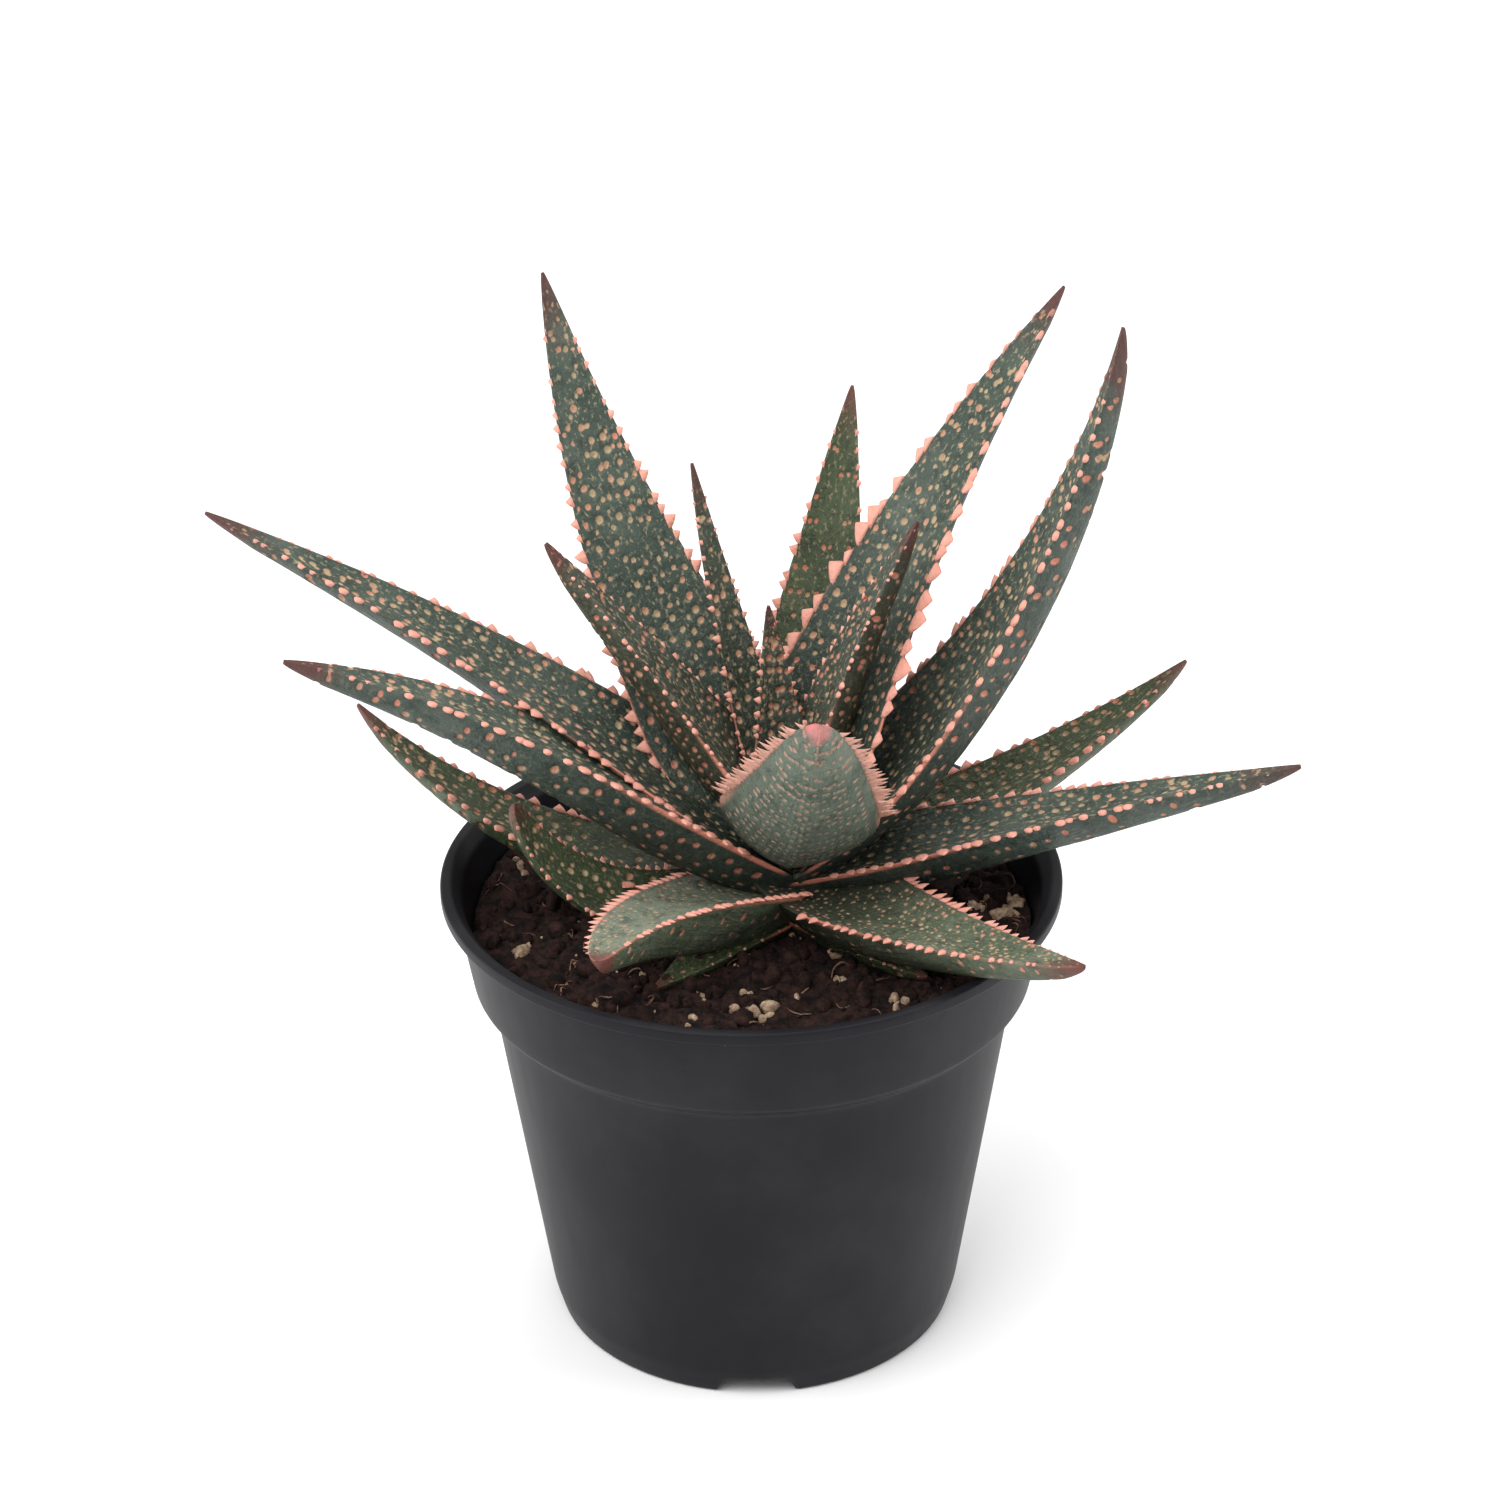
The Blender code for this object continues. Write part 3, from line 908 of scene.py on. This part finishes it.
        share, tip, one, none = (
            np.broadcast_to(part, points.shape[:3]).ravel()
            for part in (at[:, None, None], 0.45 + 0.55 * height, 1.0, 0.0)
        )
        marks = np.stack([none, one, none], axis=1)
        place = np.stack([share, one, tip], axis=1)
        named = {"marks": marks, "place": place}
        return points.reshape(-1, 3), named, np.stack([share, none], axis=1)

    def build(self, skins: dict[Age, bpy.types.Material]) -> None:
        """Joins body and teeth into one piece that stands for the leaf's solid.

        Args:
            skins: the finished skin of each age.
        """
        grid, named, flat_map = self.body()
        rows, columns = grid.shape[:2]
        shapes = [(grid.reshape(-1, 3), named, flat_map)]
        faces = inside_out(closed_tube(rows, columns))
        size = self.TOOTH_RINGS * self.TOOTH_AROUND
        cone = closed_tube(self.TOOTH_RINGS, self.TOOTH_AROUND)
        draw = np.random.default_rng(1000 + self.seed)
        start = rows * columns
        for sign in (-1, 1):
            shapes.append(self.tooth_row(sign, draw))
            count = len(shapes[-1][0])
            single = [tuple(corner + start for corner in face) for face in cone]
            faces += copies(single if sign < 0 else inside_out(single), size, count // size)
            start += count
        points, marks, maps = zip(*shapes)
        joined = {label: np.vstack([mark[label] for mark in marks]) for label in named}
        made = make_object(
            f"{self.node}_skin", np.vstack(points), faces, skins[self.age], joined, np.vstack(maps)
        )
        claim(made, "leaf_skin", self.node)


LEAVES = (
    Leaf(
        "leaf_innermost", 21, 103, 9, 72, 77, 34, 10, 3.0,
        age=Age.INNER, teeth=SMALL_TEETH, upper=CROWDED,
    ),
    Leaf(
        "leaf_inner_right", 18, 18, -3, 75, 58, 57, 13, 5.5,
        age=Age.INNER, teeth=SMALL_TEETH, upper=CROWDED, under=CROWDED,
    ),
    Leaf("leaf_inner_back", 18, 120, 0, 54, 67, 62, 9, 4.5, age=Age.INNER, teeth=SMALL_TEETH),
    Leaf(
        "leaf_inner_left", 17, 166, 0, 53, 47, 63, 16, 6.5,
        age=Age.INNER, teeth=SMALL_TEETH, upper=CROWDED, under=CROWDED,
    ),
    Leaf(
        "leaf_front_young", 16, -78, -6, 26, 63, 52, 27, 6.0, -14, 0.71, 0.53,
        age=Age.YOUNG, teeth=COMB, upper=FINE, under=DOTTED, ridge=0.45, belly=0.55, step=0.22,
    ),
    Leaf("leaf_back_right", 13, 44, -15, 65, 49, 105, 27, 5.0, 0, 0.87, teeth=Teeth(3.9, 2.9, 4.8)),
    Leaf("leaf_back_left", 14, 139, -16, 43, 66, 105, 24, 6.0, -38),
    Leaf("leaf_right_tall", 11, 10, -16, 32, 80, 112, 26, 7.0, 5, 0.7),
    Leaf("leaf_left_long", 10, 166, 5, 36, 24, 114, 21, 6.0, -4),
    Leaf("leaf_left_lower", 9.4, 186, 3, 34, 15, 94, 22, 8.5, 3, 2.4),
    Leaf("leaf_right", 8, -8, -12, 18, 21, 91, 18, 7.0, 2, 1.1, teeth=Teeth(2.6, 1.6, 2.4)),
    Leaf("leaf_back_centre", 6, 81, -11, 42, 66, 87, 23, 5.0, age=Age.OLD, upper=BANDED),
    Leaf(
        "leaf_front_left", 4, 225, 31, 18, 3, 56, 22, 8.0, 10, 2.15, 0.6,
        age=Age.LOW, teeth=Teeth(1.7, 2.2, 1.6, hook=0.3, uneven=0.25),
        upper=FINE, under=SPARSE, line=0.4,
    ),
    Leaf(
        "leaf_front_right", 8, -57, 13, 0, 16, 72, 21.5, 7.0, 0, 0.6, 0.8,
        age=Age.SHADED, teeth=Teeth(2.1, 2.0, 1.7, 0.24, hook=0.3, uneven=0.3),
        upper=FINE, under=SPARSE, line=0.3, bare=0.22,
    ),
    Leaf("leaf_right_back", 5, 18, -1, 11, 36, 79, 23, 6.0, age=Age.OLD),
    Leaf("leaf_left_under", 4.5, 171, -14, 0, 43, 82, 20, 6.0, 0, 1.25, age=Age.OLD),
    Leaf(
        "leaf_left_small", 3, 198, -25, -5, 74, 56, 18, 5.0, -22, 1.5, 0.62,
        age=Age.OLD, teeth=SMALL_TEETH,
    ),
    Leaf("leaf_front_small", 3, -53, 4, -1, 3, 36, 12, 4.0, age=Age.OLD, teeth=SMALL_TEETH),
    Leaf(
        "leaf_front_under", 2.6, 234, -4, -1, 0, 36, 14, 4.0,
        age=Age.OLD, teeth=Teeth(3.0, 0.6, 0.9), upper=SPARSE, line=0.0,
    ),
)


@dataclass
class Rosette:
    """All the leaves, each with its own random seed."""

    leaves: tuple[Leaf, ...] = LEAVES

    def build(self) -> None:
        """Makes the skins once and then each leaf."""
        skins = {age: age.value.build() for age in Age}
        for number, leaf in enumerate(self.leaves):
            replace(leaf, seed=number + 1).build(skins)


@dataclass
class Stem:
    """The short stem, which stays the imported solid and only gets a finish."""

    HEIGHT = 19.0 * MM

    def dress(self) -> None:
        """Gives the stem a mottled green-brown skin."""
        finish = Grit("stem_skin_mottled", (0.06, 0.08, 0.03), (0.2, 0.24, 0.1), 240.0, 0.7)
        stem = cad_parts["stem"]
        stem.data.materials.clear()
        stem.data.materials.append(finish.build())


# ---------------------------------------------------------------- pot and soil


NEAR_AXIS = 0.01 * MM


@dataclass
class NurseryPot:
    """The thin-walled pot, turned about its axis, with a notched foot and drain holes.

    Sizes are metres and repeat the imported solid's, except the height and the rim's
    radius, which are read from it.
    """

    rim_height: float = 2.0 * MM
    rim_overhang: float = 2.2 * MM
    collar_height: float = 15.8 * MM
    collar_taper: float = 2.8 * MM
    shoulder_drop: float = 2.4 * MM
    shoulder_step: float = 3.0 * MM
    foot_radius: float = 34.2 * MM
    foot_height: float = 4.8 * MM
    foot_flare: float = 1.4 * MM
    foot_ring: float = 3.0 * MM
    wall: float = 1.4 * MM
    floor_rise: float = 3.2 * MM
    floor: float = 1.4 * MM
    notch_count: int = 4
    notch_width: float = 14.0 * MM
    notch_top: float = 10.4 * MM
    notch_height: float = 3.0 * MM
    drain_count: int = 4
    drain_radius: float = 4.0 * MM
    drain_circle: float = 20.0 * MM
    segments: int = 384

    CURVE_POINTS = 5
    MOST_STEP = 2.0 * MM

    def __post_init__(self) -> None:
        """Reads the height and the rim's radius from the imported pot, and works out the rest."""
        low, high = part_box("pot")
        self.height = high[2]
        self.rim = (high[0] - low[0]) / 2
        self.under_rim = self.height - self.rim_height
        self.collar = self.under_rim - self.collar_height
        self.body = self.collar - self.shoulder_drop
        self.collar_top = self.rim - self.rim_overhang
        self.collar_low = self.collar_top - self.collar_taper
        self.body_top = self.collar_low - self.shoulder_step
        self.floor_top = self.floor_rise + self.floor

    def inner_wall(self) -> list[tuple[float, float]]:
        """The inside of the section, from the floor to the mouth.

        Returns:
            Its corners, as (radius, z).
        """
        return [
            (self.foot_radius + self.foot_flare - self.wall, self.floor_top),
            (self.body_top - self.wall, self.body + self.wall / 2),
            (self.collar_low - self.wall, self.collar + self.wall / 2),
            (self.collar_top - self.wall, self.under_rim),
            (self.collar_top + self.wall / 4, self.height),
        ]

    def outline(self) -> tuple[list[tuple[float, float]], list[float]]:
        """The whole section, from under the floor round the wall to the floor's top.

        Returns:
            Its corners as (radius, z), and how far each is rounded.
        """
        foot_inner = self.foot_radius - self.foot_ring
        rounding = (0.45, 0.8, 1.5, 1.5, 0.5)
        inside = [(*corner, cut) for corner, cut in zip(reversed(self.inner_wall()), rounding)]
        corners = [
            (NEAR_AXIS, self.floor_rise, 0.0),
            (foot_inner, self.floor_rise, 0.5),
            (foot_inner, 0.0, 0.5),
            (self.foot_radius, 0.0, 0.9),
            (self.foot_radius + self.foot_flare, self.foot_height, 1.2),
            (self.body_top, self.body, 1.0),
            (self.collar_low, self.collar, 0.7),
            (self.collar_top, self.under_rim, 0.25),
            (self.rim, self.under_rim, 0.3),
            (self.rim, self.height, 0.55),
            *inside,
            (NEAR_AXIS, self.floor_top, 0.0),
        ]
        return [corner[:2] for corner in corners], [corner[2] * MM for corner in corners]

    def profile(self) -> np.ndarray:
        """The outline with each corner turned into a short curve.

        A corner gives a few points of the quadratic curve that starts and ends its
        rounding away from it and is pulled towards it.

        Returns:
            Rows of radius and height.
        """
        corners, rounding = self.outline()
        corners = [np.array(corner) for corner in corners]
        points = [corners[:1]]
        share = np.linspace(0.0, 1.0, self.CURVE_POINTS)[:, None]
        for before, here, after, cut in zip(corners, corners[1:], corners[2:], rounding[1:]):
            start = here + (before - here) / np.linalg.norm(before - here) * cut
            end = here + (after - here) / np.linalg.norm(after - here) * cut
            rest = 1.0 - share
            points.append(rest**2 * start + 2.0 * share * rest * here + share**2 * end)
        points.append(corners[-1:])
        return self.with_more_rows(np.vstack(points))

    def with_more_rows(self, points: np.ndarray) -> np.ndarray:
        """Splits each long straight run of the profile into short steps.

        Args:
            points: rows of radius and height.

        Returns:
            The rows with the new ones between them.
        """
        rows = [points[:1]]
        for start, end in zip(points, points[1:]):
            count = max(1, math.ceil(np.linalg.norm(end - start) / self.MOST_STEP))
            shares = np.arange(1, count + 1)[:, None] / count
            rows.append(start + (end - start) * shares)
        return np.vstack(rows)

    def build(self) -> None:
        """Turns the profile, lifts the foot at the notches and drills the drain holes."""
        points = turned(self.profile(), self.segments)
        angle = np.arange(self.segments) / self.segments * math.tau
        nearest = np.round(angle / math.tau * self.notch_count) * math.tau / self.notch_count
        aside = np.abs(self.foot_radius * np.sin(angle - nearest))
        slope = (self.notch_width - self.notch_top) / 2
        lift = np.clip((self.notch_width / 2 - aside) / slope, 0.0, 1.0) * self.notch_height
        outer = np.hypot(points[..., 0], points[..., 1]) > self.foot_radius / 2
        points[..., 2] = np.maximum(points[..., 2], np.where(outer, lift, 0.0))
        faces = closed_tube(len(points), self.segments)
        pot = make_object("nursery_pot", points, faces, PotPlastic().build())
        self.drill(pot)
        claim(pot, "pot_plastic", "pot")

    def drill(self, pot: bpy.types.Object) -> None:
        """Cuts the drain holes through the floor, between the notches.

        Args:
            pot: the pot, whose mesh is replaced by the drilled one.
        """
        around = 32
        low, high = self.floor_rise - self.floor, self.floor_rise + 2 * self.floor
        bit = turned(np.array([(self.drain_radius, low), (self.drain_radius, high)]), around)
        for number in range(self.drain_count):
            turn = (number + 0.5) / self.drain_count * math.tau
            aside = self.drain_circle * np.array([math.cos(turn), math.sin(turn), 0.0])
            plastic = pot.data.materials[0]
            cutter = make_object("drain_cutter", bit + aside, closed_tube(2, around), plastic)
            modifier = pot.modifiers.new("drain", "BOOLEAN")
            modifier.operation = "DIFFERENCE"
            modifier.object = cutter
            graph = bpy.context.evaluated_depsgraph_get()
            pot.data = bpy.data.meshes.new_from_object(pot.evaluated_get(graph))
            pot.modifiers.clear()
            bpy.data.objects.remove(cutter, do_unlink=True)


@dataclass
class PottingMix:
    """Peat with clods, perlite grains and root fibres, filling the pot to its level."""

    pot: NurseryPot
    gap: float = 0.3 * MM
    crown: float = 1.2 * MM
    relief: float = 2.3 * MM
    crumb_relief: float = 1.1 * MM
    clods: int = 900
    grains: int = 170
    fibres: int = 110
    big_grains: tuple[tuple[float, float, float], ...] = (
        (2.0, -30.0, 1.8),
        (-1.5, -24.5, 0.9),
        (-8.0, -26.0, 0.7),
        (43.5, 1.0, 1.9),
        (44.5, 4.5, 1.6),
        (38.5, 1.0, 1.1),
        (-39.0, -12.0, 1.5),
        (23.5, -28.0, 0.8),
        (-26.5, -27.0, 0.9),
    )
    crumbs_each: int = 9

    LUMP = 6.0 * MM
    CRUMB = 1.7 * MM

    def __post_init__(self) -> None:
        """Reads the soil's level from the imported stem."""
        self.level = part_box("stem")[1][2] - Stem.HEIGHT

    def wall_radius(self, z: float) -> float:
        """The soil's radius at a height, just inside the pot's wall."""
        wall = self.pot.inner_wall()
        return float(np.interp(z, [p[1] for p in wall], [p[0] for p in wall])) - self.gap

    def surface(self, x: np.ndarray, y: np.ndarray) -> np.ndarray:
        """Height of the soil's top: a low crown, lumps and small crumbs.

        Args:
            x: places along X.
            y: places along Y.

        Returns:
            Heights, in the shape of x.
        """
        edge = self.wall_radius(self.level)
        share = np.clip(np.hypot(x, y) / edge, 0.0, 1.0)
        flat = np.stack([x, y, np.zeros_like(x)], axis=-1).reshape(-1, 3)
        lumps = layered_noise(flat / self.LUMP, 71, 4).reshape(x.shape)
        crumbs = np.abs(layered_noise(flat / self.CRUMB, 72, 3)).reshape(x.shape)
        dome = self.crown * np.cos(share * math.pi / 2)
        return self.level + dome + self.relief * lumps + self.crumb_relief * (crumbs - 0.2)

    def build(self) -> None:
        """Builds the peat, then what lies on it."""
        self.build_peat()
        draw = np.random.default_rng(40)
        clods = self.scatter(draw, self.clods, 0.4, 2.1)
        clod = Grit("peat_clod", (0.004, 0.002, 0.0016), (0.038, 0.0155, 0.0115), 500.0)
        self.build_lumps("peat_clods", clods, draw, clod, 0.5)
        grains = np.vstack([self.scatter(draw, self.grains, 0.28, 1.0), self.big_rows(draw)])
        perlite = Grit("perlite", (0.2, 0.13, 0.08), (0.55, 0.4, 0.28), 700.0, 0.8)
        self.build_lumps("perlite_grains", grains, draw, perlite, 0.35)
        self.build_fibres(draw)

    def build_peat(self) -> None:
        """A turned solid with the lumpy top, down the wall to the pot's floor."""
        segments, rings = 420, 120
        edge = self.wall_radius(self.level)
        low = self.pot.floor_top + self.gap
        levels = [z for _, z in self.pot.inner_wall()[1:-1] if z < self.level - MM]
        levels = [low, *levels, self.level - 2 * MM]
        side = [(NEAR_AXIS, low), *((self.wall_radius(z), z) for z in levels)]
        top = [(share**0.9 * edge + NEAR_AXIS, 0.0) for share in np.linspace(1.0, 0.0, rings)]
        points = turned(np.array(side + top), segments)
        points[len(side):, :, 2] = self.surface(*np.moveaxis(points[len(side):, :, :2], 2, 0))
        finish = Grit("peat", (0.002, 0.001, 0.0008), (0.034, 0.0145, 0.0108), 420.0)
        faces = closed_tube(len(points), segments)
        claim(make_object("peat_bed", points, faces, finish.build()), "potting_soil", "soil")

    def scatter(self, draw: np.random.Generator, count: int, low: float, high: float) -> np.ndarray:
        """Random places on the soil, thicker towards the wall, with a size for each.

        Args:
            draw: the random draws.
            count: how many places.
            low: smallest size in millimetres.
            high: largest size in millimetres.

        Returns:
            Rows of x, y and size, in metres.
        """
        edge = self.wall_radius(self.level) - 1.2 * MM
        reach = np.sqrt(draw.uniform(0.05, 1.0, count)) * edge
        turn = draw.uniform(0.0, math.tau, count)
        size = (low + (high - low) * draw.uniform(0.0, 1.0, count) ** 2.2) * MM
        return np.stack([reach * np.cos(turn), reach * np.sin(turn), size], axis=1)

    def big_rows(self, draw: np.random.Generator) -> np.ndarray:
        """The large perlite grains, each a cluster of small lumps.

        Args:
            draw: the random draws.

        Returns:
            Rows of x, y and size, in metres.
        """
        rows = np.repeat(np.array(self.big_grains), self.crumbs_each, axis=0)
        aside = draw.normal(0.0, 0.55, (len(rows), 2)) * rows[:, 2:]
        size = rows[:, 2:] * draw.uniform(0.3, 0.75, (len(rows), 1))
        return np.hstack([rows[:, :2] + aside, size]) * MM

    def build_lumps(
        self, name: str, rows: np.ndarray, draw: np.random.Generator, finish: Grit, sink: float
    ) -> None:
        """Many small rough stones as one piece.

        A stone is a sphere of 6 rings by 9, squashed by its own three factors and pushed
        in and out by noise.

        Args:
            name: the piece's name.
            rows: x, y and size of each stone.
            draw: the random draws.
            finish: its material.
            sink: share of its size that a stone is sunk by.
        """
        rings, around = 6, 9
        polar = (np.arange(rings) + 0.5) / rings * math.pi
        unit = turned(np.stack([np.sin(polar), -np.cos(polar)], axis=1), around).reshape(-1, 3)
        squash = draw.uniform(0.65, 1.25, (len(rows), 1, 3))
        shape = unit[None] * squash
        shift = draw.uniform(0.0, 90.0, (len(rows), 1, 3))
        push = 1.0 + 0.38 * lattice_noise((shape * 1.6 + shift).reshape(-1, 3), 5)
        shape = shape * push.reshape(len(rows), -1, 1)
        z = self.surface(rows[:, 0], rows[:, 1]) + rows[:, 2] * (1.0 - 2.0 * sink) * 0.6
        centre = np.column_stack([rows[:, 0], rows[:, 1], z])
        points = centre[:, None] + shape * rows[:, None, 2:]
        faces = copies(closed_tube(rings, around), rings * around, len(rows))
        claim(make_object(name, points, faces, finish.build()), "potting_soil")

    def build_fibres(self, draw: np.random.Generator) -> None:
        """Thin root fibres that arch over the soil.

        A fibre runs along its heading with a sideways bow and an arch, both half sine
        waves, and is a five-sided tube.

        Args:
            draw: the random draws.
        """
        steps, around = 9, 5
        rows = self.scatter(draw, self.fibres, 2.0, 6.0)
        heading = draw.uniform(0.0, math.tau, (len(rows), 1))
        bow = draw.uniform(-0.5, 0.5, (len(rows), 1)) * rows[:, 2:]
        arch = draw.uniform(0.1, 0.9, (len(rows), 1)) * MM
        thick = draw.uniform(0.09, 0.2, len(rows))[:, None, None, None] * MM
        share = np.linspace(0.0, 1.0, steps)
        wave = np.sin(share * math.pi)
        run = (share - 0.5) * rows[:, 2:]
        x = rows[:, :1] + run * np.cos(heading) - bow * wave * np.sin(heading)
        y = rows[:, 1:2] + run * np.sin(heading) + bow * wave * np.cos(heading)
        inside = self.wall_radius(self.level) - 0.8 * MM
        pull = np.minimum(1.0, inside / np.hypot(x, y))
        x, y = x * pull, y * pull
        z = self.surface(x, y) + arch * wave + 0.1 * MM
        level = np.stack([-np.sin(heading), np.cos(heading), np.zeros_like(heading)], axis=-1)
        sideways, upwards = circle(around)
        tube = level[:, :, None] * sideways[:, None] + np.outer(upwards, (0.0, 0.0, 1.0))
        points = np.stack([x, y, z], axis=-1)[:, :, None] + tube * thick
        faces = copies(closed_tube(steps, around), steps * around, len(rows))
        finish = Grit("root_fibre", (0.06, 0.03, 0.02), (0.3, 0.17, 0.12), 600.0, 0.9)
        claim(make_object("root_fibres", points, faces, finish.build()), "potting_soil")


# ---------------------------------------------------------------- studio


@dataclass
class Studio:
    """Pale floor, soft lights and the camera."""

    lens: float = 108.0
    sensor: float = 36.0
    distance: float = 0.7488
    elevation: float = 28.08
    tilt: float = 0.58
    target: tuple[float, float, float] = (0.0, 0.0, 0.1063)
    lights: tuple[tuple[str, Color, float, float], ...] = (
        ("key_light", (-0.45, -0.75, 1.35), 1.0, 15.0),
        ("left_light", (-1.25, -0.15, 0.45), 0.9, 9.5),
        ("right_light", (1.25, -0.1, 0.5), 0.9, 9.5),
        ("top_light", (0.2, 0.6, 1.5), 1.1, 9.0),
    )

    def build(self) -> None:
        """Makes the floor, the world, the lights and the camera."""
        self.build_floor()
        self.build_world()
        for name, place, size, power in self.lights:
            self.add_light(name, place, size, power)
        self.add_camera()

    def build_floor(self) -> None:
        """A wide pale floor under the pot."""
        half = 6.0
        corners = ((-half, -half), (half, -half), (half, half), (-half, half))
        points = np.array([(*corner, 0.0) for corner in corners])
        weave = Weave("studio_floor")
        shade = weave.mix(weave.noise(3.0), (0.86, 0.86, 0.86), (0.9, 0.9, 0.9))
        floor = make_object(
            "studio_floor", points, [(0, 1, 2, 3)], weave.surface(Base_Color=shade, Roughness=0.9)
        )

    def build_world(self) -> None:
        """An even white surround."""
        world = bpy.data.worlds.new("studio")
        world.use_nodes = True
        background = world.node_tree.nodes["Background"]
        background.inputs["Color"].default_value = (1.0, 1.0, 1.0, 1.0)
        background.inputs["Strength"].default_value = 0.75
        bpy.context.scene.world = world
        bpy.context.scene.view_settings.view_transform = "Standard"

    def add_light(self, name: str, place: Color, size: float, power: float) -> None:
        """A square area light that faces the plant.

        Args:
            name: its name.
            place: where it stands.
            size: length of a side, in metres.
            power: its power in watts.
        """
        data = bpy.data.lights.new(name, "AREA")
        data.shape = "SQUARE"
        data.size = size
        data.energy = power
        made = bpy.data.objects.new(name, data)
        made.location = place
        aim = Vector(self.target) - Vector(place)
        made.rotation_euler = aim.to_track_quat("-Z", "Y").to_euler()
        bpy.context.scene.collection.objects.link(made)

    def add_camera(self) -> None:
        """A long lens in front of the plant, looking down at it, tilted a little."""
        data = bpy.data.cameras.new("camera")
        data.lens = self.lens
        data.sensor_width = self.sensor
        made = bpy.data.objects.new("camera", data)
        rise, tilt = math.radians(self.elevation), math.radians(self.tilt)
        back = Vector((0.0, -math.cos(rise), math.sin(rise)))
        level = Vector((1.0, 0.0, 0.0))
        upright = back.cross(level)
        right = level * math.cos(tilt) - upright * math.sin(tilt)
        up = level * math.sin(tilt) + upright * math.cos(tilt)
        facing = Matrix((right, up, back)).transposed().to_4x4()
        place = Matrix.Translation(Vector(self.target) + back * self.distance)
        made.matrix_world = place @ facing
        bpy.context.scene.collection.objects.link(made)
        bpy.context.scene.camera = made


def main() -> None:
    """Builds the studio, the pot, the soil and the plant, in that order."""
    logging.basicConfig(level=logging.INFO, format="%(message)s")
    Studio().build()
    pot = NurseryPot()
    pot.build()
    PottingMix(pot).build()
    Stem().dress()
    Rosette().build()
    bpy.context.view_layer.update()


if __name__ == "__main__":
    main()
